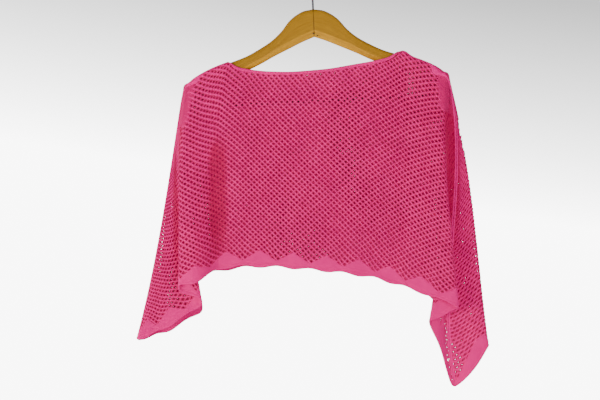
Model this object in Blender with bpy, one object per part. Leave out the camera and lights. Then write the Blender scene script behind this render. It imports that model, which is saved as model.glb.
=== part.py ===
"""A crochet-look poncho hanging on a wooden hanger.

The poncho is one ring of cloth: a front and a back, each a flared panel with a
boat neck, joined over the shoulders and down to a point at each side. It is
wider than the hanger, so its sides hang from the hanger's ends in pleats.

Metres, +Z up, +X to the viewer's right, the front faces -Y. The origin is the
inside top of the hanger's hook.
"""

import math

import bmesh
import bpy
import numpy as np
from mathutils import Matrix, Vector

# Driving sizes of the cloth, as it was knitted
HALF_HEM = 0.455
HALF_NECK = 0.149
SHOULDER_RUN = 0.077
PANEL_WALL = 0.0020
BORDER_WALL = 0.0024
BORDER_HEIGHT = 0.0090
SCALLOP_PITCH = 0.0567
SCALLOP_START = -0.0305
SCALLOP_DEPTH = 0.0038
NECKBAND_HEIGHT = 0.0050
NECKBAND_WALL = 0.0026
BAND_TAPER = 0.0130
BAND_TIP = 0.0012
SEAM_GAP = 0.0003
NECK_GAP = 0.0005

# Columns and rows of points
COLUMN_SHARE = 1.15
COLUMN_MOST = 0.0148
CORNER_COLUMNS = (0.0, 0.0020, 0.0045, 0.0075, 0.0115)
SHOULDER_ROWS = (0.0, 0.0035, 0.0075, 0.0115, 0.0180, 0.0400)
HANGING_ROWS = 8
NEAR = 1e-5
LEAST_ACROSS = 0.22

# Driving sizes of the hanger
TILT = math.radians(2.6)
ARM_THICKNESS = 0.0128
ARM_TIP = 0.2220
HOOK_WIRE = 0.0034
HOOK_RADIUS = 0.0215
BAR_WIRE = 0.0042
BAR_DROP = -0.2290
BAR_HALF = 0.1905
BAR_BEND = 0.0120
TOUCH_GAP = 0.0003
CLOTH_CLEARANCE = 0.0008

# Places along the hem cut of the folds below the arm's ends
FOLD_LEFT = 0.240
FRONT_FOLD_RIGHT = 0.268
BACK_FOLD_RIGHT = 0.240
NOSE_START = math.radians(60)

# The cloth's middle surface runs this far from the arm's axis
CREST_RADIUS = ARM_THICKNESS / 2 + CLOTH_CLEARANCE + PANEL_WALL / 2

# Top and underside of the hanger's arm, before it is tilted: x, top, bottom
ARM_PROFILE = (
    (0.0002, -0.0748, -0.1215),
    (0.0150, -0.0770, -0.1270),
    (0.0280, -0.0830, -0.1325),
    (0.0410, -0.0930, -0.1385),
    (0.0550, -0.1098, -0.1448),
    (0.0710, -0.1240, -0.1523),
    (0.0920, -0.1370, -0.1630),
    (0.1160, -0.1490, -0.1735),
    (0.1400, -0.1572, -0.1815),
    (0.1650, -0.1650, -0.1890),
    (0.1900, -0.1755, -0.1965),
    (0.2060, -0.1845, -0.2025),
    (0.2160, -0.1925, -0.2070),
)

# Neckline from the left corner to the right one: distance along it, x, drop below
# the straight line between the corners, depth in front of the hanger's middle
NECKLINE = (
    ("left corner", -0.1490, -0.1470, 0.0000, 0.0000),
    ("by left corner", -0.1440, -0.1420, 0.0003, 0.0020),
    ("over left arm", -0.1380, -0.1360, 0.0015, 0.0050),
    ("down left arm", -0.1290, -0.1270, 0.0047, 0.0080),
    ("left slope", -0.1180, -0.1160, 0.0088, 0.0098),
    ("left run", -0.0800, -0.0780, 0.0195, 0.0110),
    ("lowest", -0.0350, -0.0340, 0.0250, 0.0125),
    ("middle", 0.0100, 0.0100, 0.0240, 0.0130),
    ("right run", 0.0650, 0.0650, 0.0180, 0.0120),
    ("right slope", 0.1180, 0.1180, 0.0088, 0.0098),
    ("down right arm", 0.1290, 0.1285, 0.0047, 0.0080),
    ("over right arm", 0.1380, 0.1372, 0.0015, 0.0050),
    ("by right corner", 0.1440, 0.1431, 0.0003, 0.0020),
    ("right corner", 0.1490, 0.1480, 0.0000, 0.0000),
)

# Folds of the hung cloth, two rows for a fold's nose: the place along the knitted hem,
# how softly the cloth bends there, x and y at a third and at two thirds of the way
# down, and x, y and z at the hem
FRONT_FOLDS = (
    ("left seam", -0.455, 0.006, -0.2345, 0.000, -0.2645, 0.000, -0.2950, 0.000, -0.622),
    ("by left seam", -0.441, 0.006, -0.2335, -0.004, -0.2620, -0.005, -0.2910, -0.0055, -0.620),
    ("left drape", -0.375, 0.014, -0.2280, -0.007, -0.2400, -0.009, -0.2420, -0.010, -0.599),
    ("left inner fold", -0.316, 0.006, -0.2220, -0.0125, -0.2050, -0.013, -0.1820, -0.014, -0.571),
    ("left inner nose", -0.293, 0.006, -0.2205, -0.0165, -0.2050, -0.023, -0.1820, -0.024, -0.561),
    ("left front fold", -0.252, 0.006, -0.2195, -0.0235, -0.2190, -0.025, -0.2190, -0.026, -0.546),
    ("left front nose", -0.228, 0.006, -0.2150, -0.0300, -0.2185, -0.034, -0.2185, -0.036, -0.534),
    ("left ridge", -0.190, 0.012, -0.1850, -0.026, -0.1850, -0.033, -0.1820, -0.036, -0.522),
    ("left trough", -0.158, 0.014, -0.1570, -0.012, -0.1570, -0.011, -0.1560, -0.013, -0.509),
    ("left of middle", -0.102, 0.024, -0.1010, -0.016, -0.1010, -0.019, -0.1000, -0.021, -0.503),
    ("middle", 0.000, 0.030, 0.0000, -0.014, 0.0000, -0.016, 0.0000, -0.018, -0.510),
    ("right of middle", 0.094, 0.030, 0.0910, -0.015, 0.0910, -0.018, 0.0910, -0.020, -0.520),
    ("right run", 0.176, 0.020, 0.1610, -0.018, 0.1610, -0.022, 0.1610, -0.026, -0.537),
    ("right front nose", 0.252, 0.006, 0.2225, -0.0290, 0.2315, -0.034, 0.2430, -0.036, -0.565),
    ("right front fold", 0.276, 0.006, 0.2235, -0.0210, 0.2315, -0.0245, 0.2430, -0.0255, -0.574),
    ("right inner nose", 0.322, 0.006, 0.2245, -0.0170, 0.2150, -0.0215, 0.2010, -0.023, -0.596),
    ("right inner fold", 0.346, 0.006, 0.2270, -0.0105, 0.2150, -0.0115, 0.2010, -0.012, -0.608),
    ("right seam", 0.455, 0.012, 0.2385, -0.001, 0.2240, -0.002, 0.2330, -0.003, -0.706),
)
BACK_FOLDS = (
    ("by left seam", -0.441, 0.006, -0.2335, 0.004, -0.2620, 0.005, -0.2910, 0.0055, -0.621),
    ("left drape", -0.375, 0.014, -0.2280, 0.007, -0.2400, 0.009, -0.2420, 0.010, -0.612),
    ("left inner fold", -0.316, 0.006, -0.2220, 0.0125, -0.2050, 0.013, -0.1845, 0.014, -0.584),
    ("left inner nose", -0.293, 0.006, -0.2205, 0.0165, -0.2050, 0.023, -0.1845, 0.024, -0.574),
    ("left back fold", -0.252, 0.006, -0.2195, 0.0235, -0.2170, 0.025, -0.2140, 0.026, -0.553),
    ("left back nose", -0.228, 0.006, -0.2150, 0.0300, -0.2165, 0.034, -0.2135, 0.036, -0.541),
    ("left run", -0.182, 0.014, -0.1780, 0.022, -0.1780, 0.027, -0.1760, 0.030, -0.519),
    ("left of middle", -0.100, 0.030, -0.1000, 0.016, -0.0990, 0.018, -0.0980, 0.021, -0.5065),
    ("middle", 0.000, 0.030, 0.0000, 0.014, 0.0000, 0.016, 0.0000, 0.018, -0.5125),
    ("right of middle", 0.100, 0.030, 0.0970, 0.016, 0.0970, 0.019, 0.0970, 0.021, -0.5245),
    ("right run", 0.192, 0.018, 0.1780, 0.020, 0.1790, 0.024, 0.1800, 0.027, -0.545),
    ("right back fold", 0.240, 0.014, 0.2220, 0.024, 0.2200, 0.029, 0.2140, 0.032, -0.570),
    ("right back run", 0.300, 0.014, 0.2340, 0.021, 0.2350, 0.028, 0.2370, 0.032, -0.622),
    ("right back drape", 0.355, 0.010, 0.2480, 0.015, 0.2590, 0.021, 0.2660, 0.024, -0.692),
    ("right outer fold", 0.388, 0.006, 0.2605, 0.0105, 0.2830, 0.014, 0.3000, 0.016, -0.646),
    ("right outer nose", 0.408, 0.006, 0.2605, 0.0030, 0.2830, 0.003, 0.3000, 0.003, -0.640),
    ("right front drape", 0.430, 0.010, 0.2500, 0.000, 0.2540, -0.003, 0.2680, -0.004, -0.674),
)

# The folds are softer near the arm's end, a third and two thirds of the way down
THIRD_SOFTER = 3.0
LOWER_SOFTER = 1.4

# Care label on the inside of the back: places along the hem cut and below the shoulder
LABEL_WIDTH = 0.0190
LABEL_HEIGHT = 0.0380
LABEL_THICKNESS = 0.0008
LABEL_CUT = 0.1800
LABEL_DROP = 0.0320
LABEL_SLANT = 0.14

COLOURS = {
    "pink_knit": ((0.83, 0.035, 0.22, 1.0), 0.75, 0.0),
    "pink_border": ((0.80, 0.030, 0.20, 1.0), 0.75, 0.0),
    "varnished_wood": ((0.52, 0.29, 0.08, 1.0), 0.35, 0.0),
    "bright_wire": ((0.45, 0.45, 0.46, 1.0), 0.30, 1.0),
    "dark_bar": ((0.05, 0.045, 0.045, 1.0), 0.35, 1.0),
    "label_cloth": ((0.75, 0.73, 0.72, 1.0), 0.80, 0.0),
}


def monotone_curve(places, values, wanted):
    """A smooth curve through rows of values with no overshoot between them."""
    places = np.asarray(places, float)
    values = np.asarray(values, float)
    step = np.diff(places)
    slope = np.diff(values) / step
    same_way = slope[:-1] * slope[1:] > 0
    weight_a = 2 * step[1:] + step[:-1]
    weight_b = step[1:] + 2 * step[:-1]
    safe = np.where(same_way, slope[:-1], 1.0), np.where(same_way, slope[1:], 1.0)
    mean = (weight_a + weight_b) / (weight_a / safe[0] + weight_b / safe[1])
    tangent = np.concatenate([[slope[0]], np.where(same_way, mean, 0.0), [slope[-1]]])
    wanted = np.clip(wanted, places[0], places[-1])
    at = np.clip(np.searchsorted(places, wanted, side="right") - 1, 0, len(step) - 1)
    h = step[at]
    u = (wanted - places[at]) / h
    return (
        values[at] * (1 + 2 * u) * (1 - u) ** 2
        + tangent[at] * h * u * (1 - u) ** 2
        + values[at + 1] * u**2 * (3 - 2 * u)
        + tangent[at + 1] * h * u**2 * (u - 1)
    )


def tilted(points):
    """Points of the level hanger, turned about the hook to its tilt as hung."""
    x, y, z = points[..., 0], points[..., 1], points[..., 2]
    cos, sin = math.cos(TILT), math.sin(TILT)
    return np.stack([x * cos - z * sin, y, x * sin + z * cos], axis=-1)


def arm_top(x):
    return monotone_curve([row[0] for row in ARM_PROFILE], [row[1] for row in ARM_PROFILE], abs(x))


# The ring of folds: it runs along the front from left to right and back along the back
def ring_rows():
    full = 2 * HALF_HEM
    rows = [row[1:] for row in FRONT_FOLDS]
    rows += [(full - row[1], *row[2:]) for row in reversed(BACK_FOLDS)]
    rows = np.array(rows)
    before, after = rows[-3:].copy(), rows[:3].copy()
    before[:, 0] -= 2 * full
    after[:, 0] += 2 * full
    return np.concatenate([before, rows, after])


RING = ring_rows()


def softness(ring):
    return np.interp(ring, RING[:, 0], RING[:, 1])


def fold_values(ring, column, softer):
    """One column of the folds at places of the ring: straight between rows, then softened."""
    shifts = np.linspace(-2.2, 2.2, 11)
    weights = np.exp(-(shifts**2) / 2)
    soft = softness(ring) * softer
    total = 0.0
    for shift, weight in zip(shifts, weights / weights.sum()):
        total = total + weight * np.interp(ring + shift * soft, RING[:, 0], RING[:, column])
    return total


def crest_line(x):
    """Height of the cloth's middle surface over the arm's top, in the level hanger."""
    return arm_top(x) + CREST_RADIUS - ARM_THICKNESS / 2


def shape_of(ring):
    """What a column of the cloth is made of, from its upper edge to its hem.

    The upper edge is the neckline between the corners, and the arm's top past them.
    It rounds the arm on a great circle from start to out, then hangs to the hem.
    """
    back = ring > HALF_HEM
    cut = np.where(back, 2 * HALF_HEM - ring, ring)
    side = np.where(back, 1.0, -1.0)
    hand = np.sign(cut)
    fold = np.where(cut < 0, FOLD_LEFT, np.where(back, BACK_FOLD_RIGHT, FRONT_FOLD_RIGHT))
    along = np.clip(cut / fold, -1, 1) * (HALF_NECK + SHOULDER_RUN)
    fan = np.clip((abs(cut) - fold) / (HALF_HEM - fold), 0, 1)

    table = np.array([row[1:] for row in NECKLINE])
    corner_left, corner_right = table[0, 1], table[-1, 1]
    corner = np.where(along < 0, corner_left, corner_right)
    past = np.clip((abs(along) - HALF_NECK) / SHOULDER_RUN, 0, 1)
    shoulder_x = corner + (hand * (ARM_TIP - 0.0070) - corner) * past
    neck_x = monotone_curve(table[:, 0], table[:, 1], along)
    in_neck = abs(along) < HALF_NECK
    x = np.where(in_neck, neck_x, shoulder_x)
    crest = crest_line(x)
    level = crest_line(corner_left) + (crest_line(corner_right) - crest_line(corner_left)) * (
        (x - corner_left) / (corner_right - corner_left)
    )
    drop = np.where(in_neck, crest - level + monotone_curve(table[:, 0], table[:, 2], along), 0.0)
    drop = np.maximum(drop, 0.0)
    depth = np.where(in_neck, monotone_curve(table[:, 0], table[:, 3], along), 0.0)

    touching = drop < CREST_RADIUS
    lean = np.arccos(np.clip(1 - drop / CREST_RADIUS, 0, 1))
    start_angle = NOSE_START * fan
    start = np.stack(
        [hand * np.sin(start_angle), side * np.sin(lean), np.cos(start_angle) * np.cos(lean)], axis=-1
    )
    out_angle = math.pi / 2 * fan
    out = np.stack([hand * np.sin(out_angle), side * np.cos(out_angle), 0 * fan], axis=-1)
    turn_angle = np.arccos(np.clip((start * out).sum(-1), -1, 1))
    turn_angle = np.where(touching, turn_angle, 0.0)
    axis_height = np.where(touching, crest - CREST_RADIUS, crest - drop)
    centre = np.stack([x, 0 * x, axis_height], axis=-1)
    clear = np.clip((drop - CREST_RADIUS) / CREST_RADIUS, 0, 1)
    reach = CREST_RADIUS + np.maximum(depth - CREST_RADIUS, 0) * clear
    bottom = tilted(centre + out * reach[..., None])

    softer = (THIRD_SOFTER, THIRD_SOFTER, LOWER_SOFTER, LOWER_SOFTER, 1, 1, 1)
    at = [fold_values(ring, column, more) for column, more in enumerate(softer, 2)]
    hem = np.stack([at[4], at[5], at[6]], axis=-1)
    fall = hem[..., 2] - bottom[..., 2]
    third = np.stack([at[0], at[1], bottom[..., 2] + fall / 3], axis=-1)
    lower = np.stack([at[2], at[3], bottom[..., 2] + fall * 2 / 3], axis=-1)
    hang = sum(np.linalg.norm(b - a, axis=-1) for a, b in ((bottom, third), (third, lower), (lower, hem)))
    return start, out, turn_angle, centre, bottom, third, lower, hem, hang


def cloth_length(ring):
    """Length of the cloth from its upper edge to its hem at places of the ring."""
    shape = shape_of(ring)
    return shape[2] * CREST_RADIUS + shape[-1]


def cloth_and_radial(ring, gone):
    """Points of the cloth, the directions out of the arm's axis, and where it lies on the arm.

    Over the arm it is a great circle. Below it is the cubic through four points: the
    circle's end, the fold's places a third and two thirds down, and the hem.
    """
    ring = np.where(ring < -HALF_HEM, ring + 4 * HALF_HEM, ring)
    ring = np.where(ring > 3 * HALF_HEM, ring - 4 * HALF_HEM, ring)
    start, out, turn_angle, centre, bottom, third, lower, hem, hang = shape_of(ring)
    turn = turn_angle * CREST_RADIUS
    share = (np.maximum(gone - turn, 0.0) / hang)[..., None]
    a, b = 1 / 3, 2 / 3
    down = (
        bottom * (share - a) * (share - b) * (share - 1) * -4.5
        + third * share * (share - b) * (share - 1) * 13.5
        + lower * share * (share - a) * (share - 1) * -13.5
        + hem * share * (share - a) * (share - b) * 4.5
    )
    part = np.clip(gone / CREST_RADIUS, 0, turn_angle)
    sine = np.sin(np.maximum(turn_angle, 1e-6))
    direction = start * (np.sin(turn_angle - part) / sine)[..., None] + out * (np.sin(part) / sine)[..., None]
    over = gone < turn
    points = np.where(over[..., None], tilted(centre + direction * CREST_RADIUS), down)
    side = np.where(ring > HALF_HEM, 1.0, -1.0)
    points[..., 1] += side * SEAM_GAP / 2 * np.clip(1 - share[..., 0] * 3, 0, 1)
    return points, tilted(direction), over


def cloth(ring, gone):
    """Points of the cloth's middle surface, at a distance gone below the upper edge."""
    return cloth_and_radial(ring, gone)[0]


def normals(ring, gone):
    """Directions out of the cloth: out of the arm's axis, or from points to each side."""
    small = 0.0004
    along = cloth(ring + small, gone) - cloth(ring - small, gone)
    up = cloth(ring, np.maximum(gone - small, 0)) - cloth(ring, gone + small)
    crossed = np.cross(along, up)
    length = np.linalg.norm(crossed, axis=-1, keepdims=True)
    radial, over = cloth_and_radial(ring, gone)[1:]
    return np.where(over[..., None], radial, crossed / np.maximum(length, 1e-12))


def wall(name, ring, rows, thickness, material):
    """A closed wall on the cloth. rows holds each row's distances below the upper edge."""
    middle = part_edges(np.array([cloth(ring, gone) for gone in rows]))
    out = np.array([normals(ring, gone) for gone in rows]) * thickness / 2
    return closed_grid(name, middle + out, middle - out, material)


def part_edges(middle):
    """Draws the outermost columns in by half a seam's gap, towards their neighbours."""
    middle = middle.copy()
    for edge, inside in ((0, 1), (-1, -2)):
        inward = middle[:, inside] - middle[:, edge]
        inward /= np.linalg.norm(inward, axis=-1, keepdims=True)
        middle[:, edge] += inward * SEAM_GAP * 0.6
    return middle


def closed_grid(name, outer, inner, material):
    """Joins two grids of points into one closed wall."""
    rows, columns = outer.shape[:2]
    index = np.arange(rows * columns).reshape(rows, columns)
    below = index + rows * columns

    def quads(grid):
        return np.stack([grid[:-1, :-1], grid[1:, :-1], grid[1:, 1:], grid[:-1, 1:]], -1).reshape(-1, 4)

    border = np.concatenate([index[0], index[1:, -1], index[-1, -2::-1], index[-2:0:-1, 0]])
    border_below = border + rows * columns
    edge = np.stack([border, np.roll(border, -1), np.roll(border_below, -1), border_below], -1)
    lower = slice(columns + rows - 2, 2 * columns + rows - 3)
    edge[lower] = np.roll(edge[lower], 1, axis=1)
    faces = np.concatenate([quads(index), quads(below)[:, ::-1], edge])
    points = np.concatenate([outer.reshape(-1, 3), inner.reshape(-1, 3)])
    mesh = bpy.data.meshes.new(name)
    mesh.from_pydata(points.tolist(), [], faces.tolist())
    return finish_object(name, mesh, material)


def finish_object(name, mesh, material):
    """Turns the faces outwards, gives the material and puts the object in its collection."""
    work = bmesh.new()
    work.from_mesh(mesh)
    bmesh.ops.recalc_face_normals(work, faces=work.faces)
    work.to_mesh(mesh)
    work.free()
    mesh.shade_smooth()
    mesh.set_sharp_from_angle(angle=math.radians(50))
    mesh.materials.append(material)
    obj = bpy.data.objects.new(name, mesh)
    PONCHO.objects.link(obj)
    return obj


def make_material(name):
    colour, roughness, metallic = COLOURS[name]
    material = bpy.data.materials.new(name)
    material.use_nodes = True
    shader = material.node_tree.nodes["Principled BSDF"]
    shader.inputs["Base Color"].default_value = colour
    shader.inputs["Roughness"].default_value = roughness
    shader.inputs["Metallic"].default_value = metallic
    material.diffuse_color = colour
    return material


def fold_right(side):
    return FRONT_FOLD_RIGHT if side == "front" else BACK_FOLD_RIGHT


def neck_corners(side):
    """Places along the hem cut of the columns that start at the neckline's corners."""
    part = HALF_NECK / (HALF_NECK + SHOULDER_RUN)
    return -FOLD_LEFT * part, fold_right(side) * part


def cut_places(side):
    """Columns of points along the hem: close at the folds' noses and the neck's corners."""
    fine = np.linspace(-HALF_HEM, HALF_HEM, 2000)
    spacing = np.clip(softness(on_ring(fine, side)) * COLUMN_SHARE, 0, COLUMN_MOST)
    count = np.concatenate([[0], np.cumsum(np.diff(fine) / spacing[1:])])
    places = np.interp(np.linspace(0, count[-1], round(count[-1]) + 1), count, fine)
    left, right = neck_corners(side)
    for corner, inwards in ((left, 1), (right, -1)):
        places = places[abs(places - corner - inwards * 0.0060) > 0.0100]
        places = np.concatenate([places, corner + inwards * np.array(CORNER_COLUMNS)])
    return np.unique(places)


def on_ring(cut, side):
    """Places round the ring, in the order that keeps the cloth's outside outwards."""
    return cut if side == "front" else 2 * HALF_HEM - cut


def scallop(cut):
    """How far the hem reaches below its mean line: an even wave, lowest under each point."""
    return SCALLOP_DEPTH / 2 * np.cos((cut - SCALLOP_START) / SCALLOP_PITCH * 2 * math.pi)


def band_height(cut, side):
    """The neckband's height, tapered towards the neck's corners."""
    left, right = neck_corners(side)
    from_corner = np.minimum(cut - left, right - cut)
    share = np.clip(from_corner / BAND_TAPER, 0, 1)
    return BAND_TIP + (NECKBAND_HEIGHT - BAND_TIP) * share


def along_seam(ring, gone):
    """How much more cloth a seam's gap takes where the cloth runs slanting to the seam."""
    line = cloth(ring, gone)
    above = line - cloth(ring, gone - NEAR)
    run = np.gradient(line, axis=0)
    across = np.linalg.norm(np.cross(run, above), axis=-1) / np.linalg.norm(run, axis=-1)
    return 1 / np.clip(across / NEAR, LEAST_ACROSS, 1)


def border_seam(ring):
    """The seam between the net and the border, and the factor of the slant there."""
    slant = along_seam(ring, cloth_length(ring) - BORDER_HEIGHT)
    return cloth_length(ring) - BORDER_HEIGHT * slant, slant


def make_panel(side, material):
    """The net panel reaches from the neckband and the shoulder seam to the border."""
    cut = cut_places(side)
    ring = on_ring(cut, side)
    left, right = neck_corners(side)
    in_neck = (cut > left - NEAR) & (cut < right + NEAR)
    band = band_height(cut, side)
    top = np.where(in_neck, band + NECK_GAP * along_seam(ring, band), 0.0)
    seam, slant = border_seam(ring)
    bottom = seam - SEAM_GAP * slant
    rows = [top + step for step in SHOULDER_ROWS]
    rows += [rows[-1] + (bottom - rows[-1]) * part for part in np.linspace(0, 1, HANGING_ROWS + 1)[1:]]
    return wall(side + "_panel", ring, rows, PANEL_WALL, material)


def make_border(side, material):
    """The solid border hangs below the net and ends in the scalloped hem."""
    cut = cut_places(side)
    ring = on_ring(cut, side)
    seam = border_seam(ring)[0]
    hem = cloth_length(ring) + scallop(cut)
    rows = [seam + (hem - seam) * part for part in (0.0, 0.5, 1.0)]
    return wall(side + "_border", ring, rows, BORDER_WALL, material)


def make_neckband(side, material):
    """The neckband edges the neckline from corner to corner."""
    cut = cut_places(side)
    left, right = neck_corners(side)
    cut = cut[(cut > left - NEAR) & (cut < right + NEAR)]
    height = band_height(cut, side)
    top = SEAM_GAP / 2
    rows = [top + (height - top) * part for part in (0.0, 0.5, 1.0)]
    return wall("neckband_" + side, on_ring(cut, side), rows, NECKBAND_WALL, material)


def make_label(material):
    """The care label lies on the inside of the back panel and follows its form."""
    across = np.linspace(-0.5, 0.5, 4)
    middle, out = [], []
    for part in np.linspace(0, 1, 7):
        slide = LABEL_SLANT * LABEL_HEIGHT * (part - 0.5)
        ring = 2 * HALF_HEM - LABEL_CUT - slide + across * LABEL_WIDTH
        gone = LABEL_DROP + LABEL_HEIGHT * part + 0 * ring
        middle.append(cloth(ring, gone))
        out.append(normals(ring, gone))
    near = -(PANEL_WALL / 2 + SEAM_GAP)
    middle, out = np.array(middle), np.array(out)
    return closed_grid("care_label", middle + out * near, middle + out * (near - LABEL_THICKNESS), material)


def arm_sections(hand):
    """Rings of points round one arm, from the middle joint to the rounded tip."""
    table = np.array(ARM_PROFILE)
    places = np.concatenate([[TOUCH_GAP / 2], np.linspace(0.010, 0.216, 18)])
    top = monotone_curve(table[:, 0], table[:, 1], places)
    bottom = monotone_curve(table[:, 0], table[:, 2], places)
    nose = ARM_TIP - places[-1]
    ends = np.radians([35, 62, 82])
    middle = (top[-1] + bottom[-1]) / 2 - 0.0010
    half = (top[-1] - bottom[-1]) / 2
    places = np.concatenate([places, places[-1] + nose * np.sin(ends)])
    top = np.concatenate([top, middle + half * np.cos(ends)])
    bottom = np.concatenate([bottom, middle - half * np.cos(ends)])
    half_thick = ARM_THICKNESS / 2 * np.concatenate([np.ones(len(places) - 3), np.cos(ends)])
    angles = np.radians(np.arange(0, 180, 30))
    rings = []
    for x, high, low, thick in zip(places, top, bottom, half_thick):
        round_top = min(thick, (high - low) * 0.45)
        round_low = min(thick * 1.5, (high - low) * 0.5)
        ring = [(hand * x, -thick * math.cos(a), high - round_top + round_top * math.sin(a)) for a in angles]
        ring.append((hand * x, thick, high - round_top))
        ring += [(hand * x, thick * math.cos(a), low + round_low - round_low * math.sin(a)) for a in angles]
        ring.append((hand * x, -thick, low + round_low))
        rings.append(ring)
    return tilted(np.array(rings))


def make_arm(name, hand, material):
    """A loft through the arm's rings, with both ends closed."""
    rings = arm_sections(hand)
    count, around = rings.shape[:2]
    index = np.arange(count * around).reshape(count, around)
    turned = np.roll(index, -1, axis=1)
    sides = np.stack([index[:-1], turned[:-1], turned[1:], index[1:]], -1).reshape(-1, 4)
    mesh = bpy.data.meshes.new(name)
    faces = sides.tolist() + [index[0].tolist(), index[-1].tolist()]
    mesh.from_pydata(rings.reshape(-1, 3).tolist(), [], faces)
    work = bmesh.new()
    work.from_mesh(mesh)
    bmesh.ops.remove_doubles(work, verts=work.verts, dist=1e-6)
    work.to_mesh(mesh)
    work.free()
    return finish_object(name, mesh, material)


def make_wire(name, points, diameter, material):
    """A bent wire: a bevelled curve with filled ends."""
    curve = bpy.data.curves.new(name, "CURVE")
    curve.dimensions = "3D"
    curve.bevel_depth = diameter / 2
    curve.bevel_resolution = 2
    curve.use_fill_caps = True
    spline = curve.splines.new("POLY")
    spline.points.add(len(points) - 1)
    for point, place in zip(spline.points, points):
        point.co = (*place, 1.0)
    curve.materials.append(material)
    obj = bpy.data.objects.new(name, curve)
    PONCHO.objects.link(obj)
    return obj


def make_hook(material):
    """The stem rises from the wood, swings out and curls over to an open end."""
    centre_z = HOOK_WIRE / 2 - HOOK_RADIUS
    stem_top = -0.0560
    swing = [(0.0, stem_top), (0.0025, -0.0500), (0.0085, -0.0440), (0.0155, -0.0365)]
    turns = np.radians(np.linspace(-28, 205, 18))
    curl = [(HOOK_RADIUS * math.cos(a), centre_z + HOOK_RADIUS * math.sin(a)) for a in turns]
    flat = [(0.0, ARM_PROFILE[0][1] + TOUCH_GAP)] + swing + curl
    points = tilted(np.array([(x, 0.0, z) for x, z in flat]))
    return make_wire("hook", points, HOOK_WIRE, material)


def make_bar(material):
    """The trouser bar: a straight rod whose ends bend up into the arms."""
    under = monotone_curve([r[0] for r in ARM_PROFILE], [r[2] for r in ARM_PROFILE], BAR_HALF + BAR_WIRE / 2)
    leg_top = float(under) - TOUCH_GAP
    bends = np.radians(np.linspace(0, 90, 6))
    half = [(BAR_HALF, leg_top)]
    for a in bends:
        half.append((BAR_HALF - BAR_BEND + BAR_BEND * math.cos(a), BAR_DROP + BAR_BEND - BAR_BEND * math.sin(a)))
    both = [(-x, z) for x, z in half] + [(x, z) for x, z in reversed(half)]
    points = tilted(np.array([(x, 0.0, z) for x, z in both]))
    return make_wire("trouser_bar", points, BAR_WIRE, material)


for old in list(bpy.data.objects):
    bpy.data.objects.remove(old, do_unlink=True)
PONCHO = bpy.data.collections.new("crochet_poncho_on_hanger")
bpy.context.scene.collection.children.link(PONCHO)
MATERIALS = {name: make_material(name) for name in COLOURS}

for panel_side in ("front", "back"):
    make_panel(panel_side, MATERIALS["pink_knit"])
    make_border(panel_side, MATERIALS["pink_border"])
    make_neckband(panel_side, MATERIALS["pink_border"])
make_label(MATERIALS["label_cloth"])
make_arm("hanger_arm_left", -1, MATERIALS["varnished_wood"])
make_arm("hanger_arm_right", 1, MATERIALS["varnished_wood"])
make_hook(MATERIALS["bright_wire"])
make_bar(MATERIALS["dark_bar"])
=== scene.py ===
"""A crochet-look poncho on a wooden hanger: the looks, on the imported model's frame.

Metres, +Z up, the front faces -Y, and the origin is the inside top of the hook.
"""

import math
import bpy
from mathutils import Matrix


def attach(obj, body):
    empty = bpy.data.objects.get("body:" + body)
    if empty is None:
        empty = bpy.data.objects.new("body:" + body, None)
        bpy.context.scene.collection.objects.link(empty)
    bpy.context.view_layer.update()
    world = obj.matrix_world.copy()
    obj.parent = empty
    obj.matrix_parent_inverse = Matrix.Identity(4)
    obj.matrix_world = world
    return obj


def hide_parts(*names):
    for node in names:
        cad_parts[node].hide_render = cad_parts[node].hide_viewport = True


bl_info = {
    "name": "Net Poncho on a Hanger",
    "version": (1, 0, 0),
    "blender": (4, 5, 0),
    "location": "3D View > Sidebar > Poncho",
    "description": "Builds a knitted net poncho with a scalloped hem, its hanger and a plain studio",
    "category": "Add Mesh",
}

import bpy
import numpy as np
from mathutils import Vector

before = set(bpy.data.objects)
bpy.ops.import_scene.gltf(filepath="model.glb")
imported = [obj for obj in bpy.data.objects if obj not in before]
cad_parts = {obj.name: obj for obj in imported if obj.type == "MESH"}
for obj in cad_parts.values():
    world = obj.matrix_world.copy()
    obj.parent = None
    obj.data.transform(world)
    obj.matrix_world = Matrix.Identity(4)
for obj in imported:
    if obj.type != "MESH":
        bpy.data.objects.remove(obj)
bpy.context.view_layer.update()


# Driving sizes of the cloth, as it was knitted
HALF_HEM = 0.455
HALF_NECK = 0.149
SHOULDER_RUN = 0.077
PANEL_WALL = 0.0020
BORDER_HEIGHT = 0.0090
SCALLOP_PITCH = 0.0567
SCALLOP_START = -0.0305
SCALLOP_DEPTH = 0.0038
NECKBAND_HEIGHT = 0.0050
BAND_TAPER = 0.0130
BAND_TIP = 0.0012
SEAM_GAP = 0.0003

# Small steps along the cloth, for slants and for directions out of it, and the least share
# of a step that a seam's slant leaves
NEAR = 1e-5
NORMAL_STEP = 0.0004
LEAST_ACROSS = 0.22

# Driving sizes of the hanger
TILT = math.radians(2.6)
ARM_THICKNESS = 0.0128
ARM_TIP = 0.2220
HOOK_WIRE = 0.0034
HOOK_RADIUS = 0.0215
BAR_WIRE = 0.0042
BAR_DROP = -0.2290
BAR_HALF = 0.1905
BAR_BEND = 0.0120
CLOTH_CLEARANCE = 0.0008

# Places along the hem cut of the folds below the arm's ends. Past them the columns fan out
# round the arm's end, where the last one starts at this angle from straight up
FOLD_LEFT = 0.240
FRONT_FOLD_RIGHT = 0.268
BACK_FOLD_RIGHT = 0.240
NOSE_START = math.radians(60)

# The cloth's middle surface runs this far from the arm's axis
CREST_RADIUS = ARM_THICKNESS / 2 + CLOTH_CLEARANCE + PANEL_WALL / 2

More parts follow.
